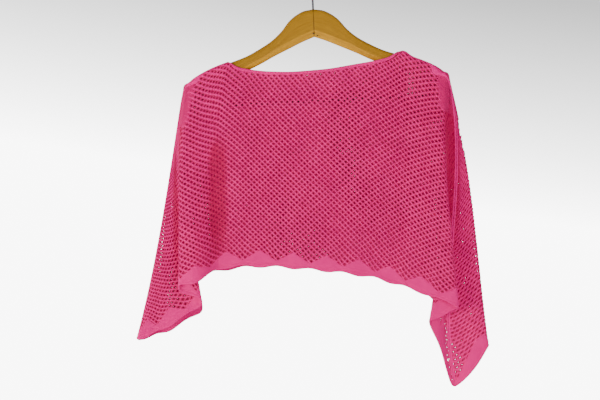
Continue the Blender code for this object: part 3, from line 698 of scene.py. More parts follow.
class Cut:
    """Where each point of one flat cut piece hangs: a is across it and b above its hem.

    A column starts on the upper edge, at a_top and b_top, and ends at s on the hem:
    a = s + (a_top - s) b / b_top. A table of s over b and the share of the half width
    turns this round.
    """

    def __init__(self, side):
        self.side = side
        self.fold = np.array([FOLD_LEFT, fold_right(side)])
        self.s = np.linspace(-HALF_HEM, HALF_HEM, HEM_SAMPLES)
        past, self.a_top = self.top_of(self.s)
        self.b_top = CUT_LENGTH - past * math.sin(SIDE_SLOPE)
        self.length = cloth_length(on_ring(self.s, side))
        self.slant = along_seam(on_ring(self.s, side), self.length - BORDER_HEIGHT)
        self.rows = np.linspace(0, CUT_LENGTH, CUT_ROWS)
        self.shares = np.linspace(-1, 1, CUT_COLUMNS)
        table = []
        for b in self.rows:
            valid = self.b_top >= b - 1e-9
            across = self.s + (self.a_top - self.s) * b / self.b_top
            table.append(np.interp(self.shares * self.half_width(b), across[valid], self.s[valid]))
        self.table = np.array(table)
        self.rise = np.clip(self.length / self.b_top, 1, MOST_RISE)
        self.heights = np.linspace(0, CUT_LENGTH * MOST_RISE, EVENED_ROWS)
        self.evened = self.evened_table()

    def hung_widening(self):
        """How much wider than the cut the hung cloth is, for places along the hem."""
        ring = on_ring(self.s, self.side)
        total = 0.0
        for part in WIDTH_PARTS:
            across = np.gradient(cloth(ring, self.length * part)[:, :2], self.s, axis=0)
            total = total + np.linalg.norm(across, axis=1) / len(WIDTH_PARTS)
        smooth = np.hanning(WIDTH_SMOOTHING) / np.hanning(WIDTH_SMOOTHING).sum()
        before, after = total[:WIDTH_ENDS].mean(), total[-WIDTH_ENDS:].mean()
        padded = np.pad(total, WIDTH_SMOOTHING // 2, constant_values=(before, after))
        return np.clip(np.convolve(padded, smooth, "valid"), LEAST_WIDENING, MOST_WIDENING)

    def evened_table(self):
        """The place along the hem for each height above it and place along an evened row.

        Where the hung cloth is wider than its cut, an evened row has more room, so it
        takes more holes: w = a W(s) / s, with W the sum of the widening along the hem.
        """
        widening = self.hung_widening()
        total = np.concatenate([[0], np.cumsum((widening[1:] + widening[:-1]) / 2 * np.diff(self.s))])
        total -= np.interp(0, self.s, total)
        ratio = total / np.where(self.s == 0, 1, self.s)
        ratio[self.s == 0] = 1
        wide = np.linspace(-EVENED_HALF, EVENED_HALF, EVENED_COLUMNS)
        rows = []
        for v in self.heights:
            b = np.minimum(v / self.rise, self.b_top)
            w = (self.s + (self.a_top - self.s) * b / self.b_top) * ratio
            right = np.maximum.accumulate(w * (self.s > 0))
            left = np.minimum.accumulate((w * (self.s < 0))[::-1])[::-1]
            w = right + left + 1e-6 * self.s
            past = (wide - w[-1]).clip(0) + (wide - w[0]).clip(None, 0)
            rows.append(np.interp(wide, w, self.s) + past)
        return np.array(rows)

    def evened_point(self, w, v):
        """The flat point at a place along an evened row that hangs v above the hem."""
        row = np.clip(v / self.heights[-1], 0, 1) * (len(self.heights) - 1.001)
        column = (w / EVENED_HALF + 1) / 2 * (EVENED_COLUMNS - 1)
        s = between(self.evened, row, np.clip(column, 0, EVENED_COLUMNS - 1.001))
        inside = np.clip(s, -HALF_HEM, HALF_HEM)
        b_top, a_top = np.interp(inside, self.s, self.b_top), np.interp(inside, self.s, self.a_top)
        b = (v + lift_of_rows(inside, v)) / np.interp(inside, self.s, self.rise)
        over = b - b_top
        b = np.minimum(b, b_top)
        a = inside + (a_top - inside) * b / b_top
        return a + s - inside, b, over

    def top_of(self, s):
        """How far past the neck's corner a column starts, and its place across."""
        along = np.clip(s / np.where(s < 0, self.fold[0], self.fold[1]), -1, 1) * (HALF_NECK + SHOULDER_RUN)
        past = np.maximum(abs(along) - HALF_NECK, 0)
        inside = np.minimum(abs(along), HALF_NECK)
        return past, np.sign(s) * (inside + past * math.cos(SIDE_SLOPE))

    def half_width(self, b):
        return HALF_HEM - (HALF_HEM - HALF_NECK) * b / CUT_LENGTH

    def hang(self, a, b):
        """The place along the hem cut and the distance below the upper edge, for flat points."""
        b = np.clip(b, 0, CUT_LENGTH)
        share = np.clip(a / self.half_width(b), -1, 1)
        row = np.clip(b / CUT_LENGTH * (len(self.rows) - 1), 0, len(self.rows) - 1.001)
        column = np.clip((share + 1) / 2 * (len(self.shares) - 1), 0, len(self.shares) - 1.001)
        s = between(self.table, row, column)
        fold = np.where(share < 0, self.fold[0], self.fold[1])
        past = (CUT_LENGTH - b) / math.sin(SIDE_SLOPE)
        folded = fold * (HALF_NECK + past) / (HALF_NECK + SHOULDER_RUN)
        edge_s = np.sign(share) * np.minimum(folded, HALF_HEM)
        edge_s = np.where(past > SHOULDER_RUN, np.sign(share) * HALF_HEM, edge_s)
        s = np.where(abs(share) >= 1, edge_s, s)
        b_top = np.interp(s, self.s, self.b_top)
        gone = np.clip(1 - b / b_top, 0, 1) * np.interp(s, self.s, self.length)
        return s, gone

    def points(self, a, b):
        """Points of the hung cloth's middle surface and the directions out of it."""
        s, gone = self.hang(a, b)
        ring = on_ring(s, self.side)
        return cloth(ring, gone), normals(ring, gone)


def triangle_wave(a):
    """1 at the top of each solid triangle, 0 between two of them, straight between."""
    place = (a - SCALLOP_START) / SCALLOP_PITCH
    return 1 - 2 * abs(place - np.round(place))


def build_mesh(name, points, faces, material, uv=None, heights=None, caps=()):
    """A smooth mesh of four-sided faces and many-sided caps, with an optional map and heights."""
    mesh = bpy.data.meshes.new(name)
    mesh.vertices.add(len(points))
    mesh.vertices.foreach_set("co", np.ascontiguousarray(points, np.float32).ravel())
    corners = np.concatenate([faces.ravel(), *caps]).astype(np.int32)
    sizes = np.concatenate([np.full(len(faces), 4), [len(cap) for cap in caps]]).astype(int)
    mesh.loops.add(len(corners))
    mesh.loops.foreach_set("vertex_index", corners)
    mesh.polygons.add(len(sizes))
    mesh.polygons.foreach_set("loop_start", (np.cumsum(sizes) - sizes).astype(np.int32))
    if uv is not None:
        layer = mesh.uv_layers.new(name="cut")
        layer.data.foreach_set("uv", np.ascontiguousarray(uv[corners], np.float32).ravel())
    if heights is not None:
        attribute = mesh.attributes.new("strand", "FLOAT", "POINT")
        attribute.data.foreach_set("value", heights.astype(np.float32))
    mesh.update(calc_edges=True)
    mesh.validate()
    mesh.shade_smooth()
    mesh.materials.append(material)
    obj = bpy.data.objects.new(name, mesh)
    bpy.context.scene.collection.objects.link(obj)
    return obj


def grid_faces(rows, columns, turn=False):
    """Four-sided faces of a grid of points. With turn, the last column meets the first."""
    index = np.arange(rows * columns).reshape(rows, columns)
    if turn:
        index = np.concatenate([index, index[:, :1]], axis=1)
    return np.stack([index[:-1, :-1], index[:-1, 1:], index[1:, 1:], index[1:, :-1]], -1).reshape(-1, 4)


def shell_faces(rows, columns):
    """Faces of a closed wall: the outer grid's points come first, and then the inner grid's."""
    faces = grid_faces(rows, columns)
    count = rows * columns
    index = np.arange(count).reshape(rows, columns)
    rim = np.concatenate([index[0], index[1:, -1], index[-1, -2::-1], index[-2:0:-1, 0]])
    edge = np.stack([rim, rim + count, np.roll(rim, -1) + count, np.roll(rim, -1)], -1)
    return np.concatenate([faces, faces[:, ::-1] + count, edge])


def shell(name, outer, inner, material, uv):
    """A closed wall between two grids of points, rows from the hem up and columns to the right."""
    points = np.concatenate([outer.reshape(-1, 3), inner.reshape(-1, 3)])
    faces = shell_faces(*outer.shape[:2])
    return build_mesh(name, points, faces, material, np.concatenate([uv.reshape(-1, 2)] * 2))


# Turns of the rings that close a rod's end
CAP_TURNS = (88, 60, 30)


def tube(name, path, radius, material, around=24):
    """A round rod along a path in the plane y = 0, its ends closed by shrinking rings.

    Each ring is the path's point plus radius times the cosine of the angle along the
    path's normal in that plane and the sine along Y.
    """
    ahead = np.gradient(path, axis=0)
    ahead /= np.linalg.norm(ahead, axis=-1, keepdims=True)
    cap = np.radians(CAP_TURNS)
    start = path[0] - ahead[0] * radius * np.sin(cap)[:, None]
    end = path[-1] + ahead[-1] * radius * np.sin(cap[::-1])[:, None]
    centres = np.concatenate([start, path, end])
    radii = np.concatenate([radius * np.cos(cap), np.full(len(path), radius), radius * np.cos(cap[::-1])])
    ahead = np.concatenate([np.repeat(ahead[:1], len(cap), 0), ahead, np.repeat(ahead[-1:], len(cap), 0)])
    side = np.stack([ahead[:, 2], 0 * ahead[:, 1], -ahead[:, 0]], -1)
    angle = np.linspace(0, 2 * math.pi, around, endpoint=False)
    ring = np.cos(angle)[:, None] * side[:, None] + np.sin(angle)[:, None] * np.array([0, 1.0, 0])
    points = centres[:, None] + ring * radii[:, None, None]
    length = np.concatenate([[0], np.cumsum(np.linalg.norm(np.diff(centres, axis=0), axis=-1))])
    uv = np.stack(np.broadcast_arrays(length[:, None], angle[None] * radius), -1)
    faces = grid_faces(len(centres), around, turn=True)
    caps = (np.arange(around)[::-1], np.arange(around) + (len(centres) - 1) * around)
    return build_mesh(name, points.reshape(-1, 3), faces, material, uv.reshape(-1, 2), caps=caps)


# The eight points round a hole's cell, in quarters of the pitch
CELL_RING = np.array([(2, 0), (1, 1), (0, 2), (-1, 1), (-2, 0), (-1, -1), (0, -2), (1, -1)])
EIGHT_WAYS = np.radians(np.arange(0, 360, 45))

# The sign of the way to the right across each side, as seen from outside
HAND = {"front": 1, "back": -1}


def lift_of_rows(a, v):
    """How far the rows of holes rise over each solid triangle, fading out up the cloth."""
    fade = np.clip(1 - v / ROWS_FADE, 0, 1) ** 2
    return TRIANGLE_HEIGHT * (triangle_wave(a) - 0.5) * ROWS_LIFT * fade


def fold_shade(cut, side, s, gone):
    """Painted shade in the folds: how much of the strands' height is left to paint light, least in the
    folds.

    Each fold takes a share of it: a bell across the fold, times a ramp at each end.
    """
    down = gone / np.interp(s, cut.s, cut.length)
    left = 1.0
    for place, half, first, last, amount in FOLD_SHADE[side]:
        ends = np.clip((down - first) / SHADE_COMES, 0, 1) * np.clip((last - down) / SHADE_GOES, 0, 1)
        left = left * (1 - amount * ends * np.exp(-(((s - place) / half) ** 4)))
    return left


def edge_strand(cut, edge):
    """The closed edge of the net down one side: an oval rod that follows the cut's edge.

    Each ring is the cut's point moved across it by the cosine of the angle, and out of it
    by the sine. It is widest at the arm's end, where the columns fan out.
    """
    b = np.linspace(EDGE_SHORT[0], CUT_LENGTH - EDGE_SHORT[1], EDGE_RINGS)
    turn, hand = EIGHT_WAYS, HAND[cut.side]
    half = EDGE_STRAND[0] * (1 + FAN_WIDER * np.exp(-(((b - cut.b_top[0]) / FAN_REACH) ** 2)))
    a = edge * (cut.half_width(b) - half)[:, None] + hand * EDGE_INSET * half[:, None] * np.cos(turn)
    rows = np.broadcast_to(b[:, None], a.shape)
    middle, normal = cut.points(a.ravel(), rows.ravel())
    points = middle - normal * (EDGE_STRAND[1] * np.tile(np.sin(turn), len(b)))[:, None]
    uv = np.stack([a.ravel(), rows.ravel()], -1)
    caps = (np.arange(8)[::-1], np.arange(8) + (len(b) - 1) * 8)
    return points, uv, grid_faces(len(b), 8, turn=True), caps


def end_patch(side, edge, first, reach):
    """Dense knitting round the arm's end, a thin closed wall on the cloth's own surface.

    The net's cells would be long there, and their straight edges would cut the wood.
    """
    s = np.sort(edge * np.linspace(first, HALF_HEM - NEAR, END_COLUMNS))[:: HAND[side]]
    ring = on_ring(s, side)
    rows = np.linspace(reach, END_TOP, END_ROWS)
    middle = np.array([cloth(ring, gone + 0 * ring) for gone in rows])
    out = np.array([normals(ring, gone + 0 * ring) for gone in rows]) * END_WALL
    uv = np.stack(np.broadcast_arrays(s[None], -rows[:, None]), -1).reshape(-1, 2)
    points = np.concatenate([(middle + out).reshape(-1, 3), (middle - out).reshape(-1, 3)])
    return points, np.concatenate([uv, uv]), shell_faces(len(rows), len(s))


def net_cells(cut, looks):
    """The cells on the cloth: steps p and q, places in the cut and as hung, and openness.

    Rows of holes are staggered. A cell is kept where it is on the cut and above the solid
    knitting, or runs a little under it.
    """
    across, up = looks.hole_pitch / 4, looks.row_pitch / 4
    count = math.ceil(EVENED_HALF / looks.hole_pitch) - 2
    j, i = np.mgrid[0 : math.ceil(CUT_LENGTH * MOST_RISE / (2 * up)) + 2, -count : count + 1]
    p, q = (4 * i + 2 * (j % 2)).ravel(), (2 * j).ravel()
    a, b, over = cut.evened_point(HAND[cut.side] * p * across, q * up)
    s, gone = cut.hang(a, b)
    above_hem = np.interp(s, cut.s, cut.length) - gone
    solid = (BORDER_HEIGHT + TRIANGLE_HEIGHT * triangle_wave(s)) * np.interp(s, cut.s, cut.slant)
    room = cut.half_width(b) - abs(a)
    keep = (room > -SIDE_REACH * looks.hole_pitch) & (b < CUT_LENGTH - NECKBAND_HEIGHT / 2)
    keep &= over < TOP_REACH * looks.row_pitch
    keep &= above_hem > solid - NET_UNDER_SOLID * np.interp(s, cut.s, cut.slant)
    p, q, a, b, room, s, gone = (each[keep] for each in (p, q, a, b, room, s, gone))
    closed = np.interp(room / looks.hole_pitch, SIDE_CLOSED, (LEAST_OPEN, 1.0))
    least = SIDE_LEAST * looks.hole_pitch
    a = np.sign(a) * np.where(room < least, cut.half_width(b) - least, abs(a))
    return p, q, a, b, s, gone, closed


def cell_rings(cut, looks, p, q):
    """The strands' points round the cells: steps, each cell's eight, places and directions."""
    keys = np.stack([p[:, None] + CELL_RING[:, 0], q[:, None] + CELL_RING[:, 1]], -1).reshape(-1, 2)
    keys, ring = np.unique(keys, axis=0, return_inverse=True)
    across, up = looks.hole_pitch / 4, looks.row_pitch / 4
    a, b, _ = cut.evened_point(HAND[cut.side] * keys[:, 0] * across, keys[:, 1] * up)
    return keys, ring.reshape(len(p), 8), a, b, *cut.points(a, b)


def without_long_cells(cut, looks, cells):
    """The cells less the long ones at the arm's ends, and a patch's place for each end."""
    p, q, _, _, s, gone, _ = cells
    _, ring, _, _, strand, _ = cell_rings(cut, looks, p, q)
    corners = strand[ring]
    longest = np.linalg.norm(corners - np.roll(corners, 1, axis=1), axis=-1).max(axis=1)
    at_end = (longest > LONGEST_AT_END) & (gone < END_ZONE) & (abs(s) > END_FROM)
    patches = []
    for edge in (-1, 1):
        there = at_end & (s * edge > 0)
        patches.append((edge, abs(s[there]).min() - END_OVERLAP, gone[there].max() + END_OVERLAP))
    return [each[~at_end] for each in cells], patches


def hole_edges(cut, looks, cells, rings, random):
    """Eight places in the cut round each hole, an oval that keeps its size as hung.

    Its size is the openness there, made uneven, and less where the cell is pulled wide.
    """
    p, _, a, b, s, gone, closed = cells
    _, ring, out_a, out_b, strand, _ = rings
    right, top, left, foot = ring[:, 0], ring[:, 2], ring[:, 4], ring[:, 6]
    pulled_a = np.linalg.norm(strand[right] - strand[left], axis=1) / looks.hole_pitch
    pulled_b = np.linalg.norm(strand[top] - strand[foot], axis=1) / looks.row_pitch
    places, sizes = zip(*OPENNESS[cut.side])
    openness = np.interp(s, places, sizes) * np.interp(gone, *SHOULDER_OPENNESS) * closed
    size = openness[:, None] * (1 + looks.unevenness * random.uniform(-1, 1, (len(p), 1)))
    slant, turn = looks.hole_slant, EIGHT_WAYS
    wide = looks.hole_width * size * np.cos(turn - slant) / np.clip(pulled_a, *PULL_LIMITS)[:, None]
    high = looks.hole_height * size * np.sin(turn - slant) / np.clip(pulled_b, *PULL_LIMITS)[:, None]
    squeeze = abs(out_a[right] - out_a[left])[:, None] / looks.hole_pitch
    shorten = abs(out_b[top] - out_b[foot])[:, None] / looks.row_pitch
    hole_a = a[:, None] + HAND[cut.side] * squeeze * (wide * math.cos(slant) - high * math.sin(slant))
    hole_b = b[:, None] + shorten * (wide * math.sin(slant) + high * math.cos(slant))
    return hole_a.ravel(), hole_b.ravel()


def net_faces(ring, strands):
    """Faces from each hole's points to the strands' tops and lows, and round the net's rim."""
    first = np.arange(ring.size).reshape(ring.shape)
    tops, lows = ring.size, ring.size + strands
    following, ahead = np.roll(first, -1, axis=1), np.roll(ring, -1, axis=1)
    face = np.stack([first, ring + tops, ahead + tops, following], -1).reshape(-1, 4)
    back = np.stack([first, following, ahead + lows, ring + lows], -1).reshape(-1, 4)
    pairs = np.minimum(ring, ahead).astype(np.int64) * strands + np.maximum(ring, ahead)
    _, which, uses = np.unique(pairs.ravel(), return_inverse=True, return_counts=True)
    alone = uses[which.ravel()] == 1
    start, end = ring.ravel()[alone], ahead.ravel()[alone]
    return [face, back, np.stack([start + tops, start + lows, end + lows, end + tops], -1)]


def net_piece(name, side, looks, material):
    """A net of round strands between staggered oval holes, both faces and the holes' walls.

    Each hole has a ring of eight points on its edge, in the cloth's middle, and one of
    eight on the strands round it, raised on both faces. Strands that run down to the
    right are raised most, as the yarn lies on top there. An edge strand closes each
    slanting side, and dense patches take the place of the long cells at the arm's ends.
    """
    cut = Cut(side)
    cells, patches = without_long_cells(cut, looks, net_cells(cut, looks))
    rings = cell_rings(cut, looks, *cells[:2])
    keys, ring, out_a, out_b, strand, normal = rings
    random = np.random.default_rng(len(side) * 7)
    hole_a, hole_b = hole_edges(cut, looks, cells, rings, random)
    hole, _ = cut.points(hole_a, hole_b)

    uneven = 1 + STRAND_UNEVENNESS * random.uniform(-1, 1, len(keys))
    knot = keys[:, 0] % 2 == 0
    crossing = ((keys[:, 0] + 1) // 2 + (keys[:, 1] + 1) // 2) % 2 == 0
    tall = looks.strand_height * uneven
    top = tall * np.where(knot, KNOT_STRAND, np.where(crossing, 1.0, LOW_STRAND))
    low = tall * np.where(knot, KNOT_STRAND, np.where(crossing, LOW_STRAND, 1.0))
    # Painted shade in the folds, carried only in the strand attribute that paints the light
    shade = fold_shade(cut, side, *cut.hang(out_a, out_b))
    points = np.concatenate([hole, strand + normal * top[:, None], strand - normal * low[:, None]])
    strand_uv = np.stack([out_a, out_b], -1)
    uv = np.concatenate([np.stack([hole_a, hole_b], -1), strand_uv, strand_uv])
    heights = np.concatenate([np.zeros(ring.size), top * shade, low * shade]) / looks.strand_height
    faces, caps = net_faces(ring, len(keys)), []
    extras = [(*edge_strand(cut, edge), KNOT_STRAND) for edge in (-1, 1)]
    extras += [(*end_patch(side, *patch), (), END_PAINTED_SHADE) for patch in patches]
    for more, more_uv, more_faces, more_caps, height in extras:
        faces.append(more_faces + len(points))
        caps += [cap + len(points) for cap in more_caps]
        points, uv = np.concatenate([points, more]), np.concatenate([uv, more_uv])
        heights = np.concatenate([heights, np.full(len(more), height)])
    return build_mesh(name, points, np.concatenate(faces), material, uv, heights, caps)


def solid_piece(name, side, s, gone, half, material):
    """A wall of solid knitting: rows of places and distances down, with a half thickness each."""
    ring = on_ring(s, side)
    middle = np.array([cloth(ring, row) for row in gone])
    out = np.array([normals(ring, row) for row in gone]) * np.asarray(half).reshape(-1, 1, 1)
    uv = np.stack(np.broadcast_arrays(s[None], -gone), -1)
    return shell(name, middle + out, middle - out, material, uv)


def hem_piece(name, side, material):
    """The solid border with its rolled hem and a triangle over each scallop.

    Near the hem its rows keep their distance from the edge, which waves with the
    scallops. Above the band they share out each triangle's height.
    """
    s = HAND[side] * np.linspace(-HALF_HEM, HALF_HEM, HEM_COLUMNS)
    ring = on_ring(s, side)
    length = cloth_length(ring)
    slant = along_seam(ring, length - BORDER_HEIGHT)
    rows, half = [], []
    for distance, thick in HEM_PROFILE:
        wave = scallop(s) * (1 - distance / BORDER_HEIGHT)
        rows.append(length + wave - distance * slant)
        half.append(thick)
    for share, thick in POINT_PROFILE:
        height = LEAST_POINT + TRIANGLE_HEIGHT * triangle_wave(s)
        rows.append(length - (BORDER_HEIGHT + share * height) * slant)
        half.append(thick)
    return solid_piece(name, side, s, np.array(rows), half, material)


def neckband_piece(name, side, material):
    """The rounded band along the neckline, thinner at the neck's corners."""
    left, right = neck_corners(side)
    s = np.linspace(left, right, BAND_COLUMNS)[:: HAND[side]]
    height = band_height(s, side)
    shares, half = zip(*reversed(BAND_PROFILE))
    rows = height * np.array(shares)[:, None]
    return solid_piece(name, side, s, rows, half, material)


def label_piece(name, material):
    """The label: on the inside of the back, a little waved, its free end turned up."""
    across, down = np.linspace(0.5, -0.5, LABEL_GRID[0]), np.linspace(1, 0, LABEL_GRID[1])
    part, share = np.meshgrid(down, across, indexing="ij")
    slide = LABEL_SLANT * LABEL_HEIGHT * (part - 0.5)
    ring = 2 * HALF_HEM - LABEL_CUT - slide - share * LABEL_WIDTH
    gone = LABEL_DROP + LABEL_HEIGHT * part
    middle, out = cloth(ring, gone), normals(ring, gone)
    clear = LABEL_CLEAR + LABEL_WAVE * part * (1 + np.sin(share * 5 + part * 3))
    near = middle - out * clear[..., None]
    far = near - out * LABEL_THICKNESS
    uv = np.stack([share * LABEL_WIDTH, -part * LABEL_HEIGHT], -1)
    return shell(name, near, far, material, uv)


# Section of the hanger's arm from the crown down the front: share of the half thickness,
# 1 where the height is taken from the top, share of the bevel, and metres added to it
ARM_SECTION = (
    ("crown", 0.00, 1, 0.0, 0.0000),
    ("crown's side", 0.34, 1, 0.0, -0.0004),
    ("shoulder's top", 0.64, 1, 0.0, -0.0015),
    ("shoulder", 0.86, 1, 0.0, -0.0032),
    ("shoulder's foot", 0.97, 1, 0.0, -0.0052),
    ("face's top", 1.00, 1, 0.0, -0.0074),
    ("face's middle", 1.00, 1, 0.0, -0.0120),
    ("face's foot", 1.00, 0, 1.0, 0.0009),
    ("bevel's edge", 0.985, 0, 1.0, 0.0002),
    ("bevel's top", 0.95, 0, 1.0, -0.0007),
    ("bevel's middle", 0.62, 0, 0.5, 0.0),
    ("bevel's foot", 0.28, 0, 0.0, 0.0010),
    ("underside's edge", 0.16, 0, 0.0, 0.0002),
    ("underside", 0.00, 0, 0.0, 0.0000),
)
ARM_BEVEL = 0.0118
BEVEL_MOST = 0.36
FULL_SECTION = 0.018

# Places of the sections along the arm: at the joint, from and to, and how many, and the
# turns of the round end's sections, whose middle lies a little lower
ARM_JOINT = (0.00002, 0.0008)
ARM_SECTIONS = (0.003, 0.216, 88)
ARM_END_TURNS = (12, 25, 38, 51, 64, 76, 85)
ARM_END_DROP = 0.0010


def arm_piece(name, hand, material):
    """One arm of the hanger: the section is carried along the arm and shrinks to its round end."""
    x = np.concatenate([ARM_JOINT, np.linspace(*ARM_SECTIONS)])
    top, bottom = arm_height(x, 1), arm_height(x, 2)
    ends = np.radians(ARM_END_TURNS)
    middle, tall = (top[-1] + bottom[-1]) / 2 - ARM_END_DROP, (top[-1] - bottom[-1]) / 2
    x = np.concatenate([x, x[-1] + (ARM_TIP - x[-1]) * np.sin(ends)])
    top = np.concatenate([top, middle + tall * np.cos(ends)])
    bottom = np.concatenate([bottom, middle - tall * np.cos(ends)])
    shrink = np.concatenate([np.ones(len(x) - len(ends)), np.cos(ends)])
    bevel = np.minimum(ARM_BEVEL, (top - bottom) * BEVEL_MOST)
    rows = ARM_SECTION + tuple(reversed(ARM_SECTION[1:-1]))
    depth = np.array([row[1] for row in rows])
    depth[: len(ARM_SECTION)] *= -1
    from_top, of_bevel, added = (np.array([row[k] for row in rows], float) for k in (2, 3, 4))
    small = np.clip((top - bottom)[:, None] / FULL_SECTION, 0, 1) * shrink[:, None] ** 0.5
    z = np.where(from_top == 1, top[:, None], bottom[:, None] + bevel[:, None] * of_bevel) + added * small
    y = depth * ARM_THICKNESS / 2 * shrink[:, None]
    level = np.stack([np.broadcast_to(hand * x[:, None], z.shape), y, z], -1)
    points = tilted(level)
    count, around = z.shape
    faces = grid_faces(count, around, turn=True)
    girth = np.cumsum(np.linalg.norm(np.diff(level[0], axis=0, prepend=level[0, :1]), axis=-1))
    along = np.cumsum(np.hypot(np.diff(x, prepend=x[0]), np.diff(top, prepend=top[0])))
    uv = np.stack(np.broadcast_arrays(hand * along[:, None], girth[None]), -1).reshape(-1, 2)
    first, last = np.arange(around)[::-1], np.arange(around) + (count - 1) * around
    if hand < 0:
        faces, first, last = faces[:, ::-1], first[::-1], last[::-1]
    return build_mesh(name, points.reshape(-1, 3), faces, material, uv, caps=(first, last))


def hook_path():
    """Stem, swing and curl of the hook. The swing is the cubic that joins both smoothly."""
    centre = HOOK_WIRE / 2 - HOOK_RADIUS
    turn = np.radians(np.linspace(*HOOK_CURL, CURL_POINTS))
    curl = np.stack([HOOK_RADIUS * np.cos(turn), centre + HOOK_RADIUS * np.sin(turn)], -1)
    stem = np.linspace((0, ARM_PROFILE[0][1] - HOOK_IN_WOOD), (0, HOOK_STEM_TOP), STEM_POINTS)
    u = np.linspace(0, 1, SWING_POINTS)[1:-1, None]
    ahead = np.array([[0, 1.0], [-math.sin(turn[0]), math.cos(turn[0])]]) * HOOK_SWING
    swing = (
        stem[-1] * (1 + 2 * u) * (1 - u) ** 2
        + ahead[0] * u * (1 - u) ** 2
        + curl[0] * u**2 * (3 - 2 * u)
        + ahead[1] * u**2 * (u - 1)
    )
    flat = np.concatenate([stem, swing, curl])
    return tilted(np.stack([flat[:, 0], 0 * flat[:, 0], flat[:, 1]], -1))


def bar_path():
    """The trouser bar: a straight run with a quarter turn up at each end."""
    under = arm_height(BAR_HALF, 2)
    bend = np.radians(np.linspace(0, 90, BAR_BEND_POINTS))
    x = np.concatenate([[BAR_HALF] * BAR_RISE_POINTS, BAR_HALF - BAR_BEND + BAR_BEND * np.cos(bend)])
    rise = np.linspace(under, BAR_DROP + BAR_BEND, BAR_RISE_POINTS) + BAR_IN_WOOD
    z = np.concatenate([rise, BAR_DROP + BAR_BEND * (1 - np.sin(bend))])
    flat = np.concatenate([np.stack([-x, z], -1), np.stack([x, z], -1)[::-1]])
    return tilted(np.stack([flat[:, 0], 0 * flat[:, 0], flat[:, 1]], -1))


def nail_piece(name, place, material):
    """A nail's head: half a ball, flattened, facing the front."""
    lift = np.radians(np.linspace(*NAIL_LIFTS))[:, None]
    turn = np.linspace(0, 2 * math.pi, NAIL_AROUND, endpoint=False)
    sideways = np.sin(lift)
    offset = [sideways * np.cos(turn), -NAIL_FLATNESS * np.cos(lift) + 0 * turn, sideways * np.sin(turn)]
    points = np.array(place) + NAIL_RADIUS * np.stack(offset, -1)
    rings, around = points.shape[:2]
    caps = (np.arange(around), (np.arange(around) + (rings - 1) * around)[::-1])
    faces = grid_faces(rings, around, turn=True)[:, ::-1]
    return build_mesh(name, points.reshape(-1, 3), faces, material, caps=caps)


def add_node(tree, kind, inputs=None, **settings):
    """A shader node with its settings. Each input is a constant or another node's output."""
    made = tree.nodes.new("ShaderNode" + kind)
    for key, value in settings.items():
        setattr(made, key, value)
    for key, value in (inputs or {}).items():
        if isinstance(value, bpy.types.NodeSocket):
            tree.links.new(value, made.inputs[key])
        else:
            made.inputs[key].default_value = value
    return made


def maths(tree, operation, *inputs):
    """The result of one step of arithmetic, whose inputs are constants or nodes' outputs."""
    return add_node(tree, "Math", dict(enumerate(inputs)), operation=operation).outputs[0]


def spread(tree, value, low, high, to_low, to_high):
    """A value carried from one range into another, and kept inside it."""
    inputs = dict(enumerate((value, low, high, to_low, to_high)))
    return add_node(tree, "MapRange", inputs).outputs[0]


def scaled(tree, colour, share):
    return add_node(tree, "VectorMath", {0: colour, "Scale": share}, operation="SCALE").outputs[0]


def split_axes(tree, vector):
    return add_node(tree, "SeparateXYZ", {0: vector}).outputs


def noise(tree, place, scale, detail, roughness=0.5, distortion=0.0):
    """Cloudy values from 0 to 1 over a place, finer with a larger scale."""
    inputs = {"Vector": place, "Scale": scale, "Detail": detail, "Roughness": roughness}
    return add_node(tree, "TexNoise", {**inputs, "Distortion": distortion}).outputs["Fac"]


def cut_map(tree):
    """The piece's own map, in metres along and across what it is cut from."""
    return add_node(tree, "UVMap", uv_map="cut").outputs[0]


def drawn_out(tree, place, along, across):
    """A place scaled differently along and across, so that a pattern on it is drawn out."""
    return add_node(tree, "Mapping", {"Vector": place, "Scale": (along, across, 1.0)}).outputs[0]


def new_group(name, inputs, outputs):
    """An empty shader group with its sockets, and its input and output nodes."""
    group = bpy.data.node_groups.new(name, "ShaderNodeTree")
    kinds = {"colour": "NodeSocketColor", "value": "NodeSocketFloat", "vector": "NodeSocketVector"}
    for way, sockets in (("INPUT", inputs), ("OUTPUT", outputs)):
        for socket, kind, default in sockets:
            made = group.interface.new_socket(socket, in_out=way, socket_type=kinds[kind])
            if default is not None:
                made.default_value = default
    return group, group.nodes.new("NodeGroupInput"), group.nodes.new("NodeGroupOutput")


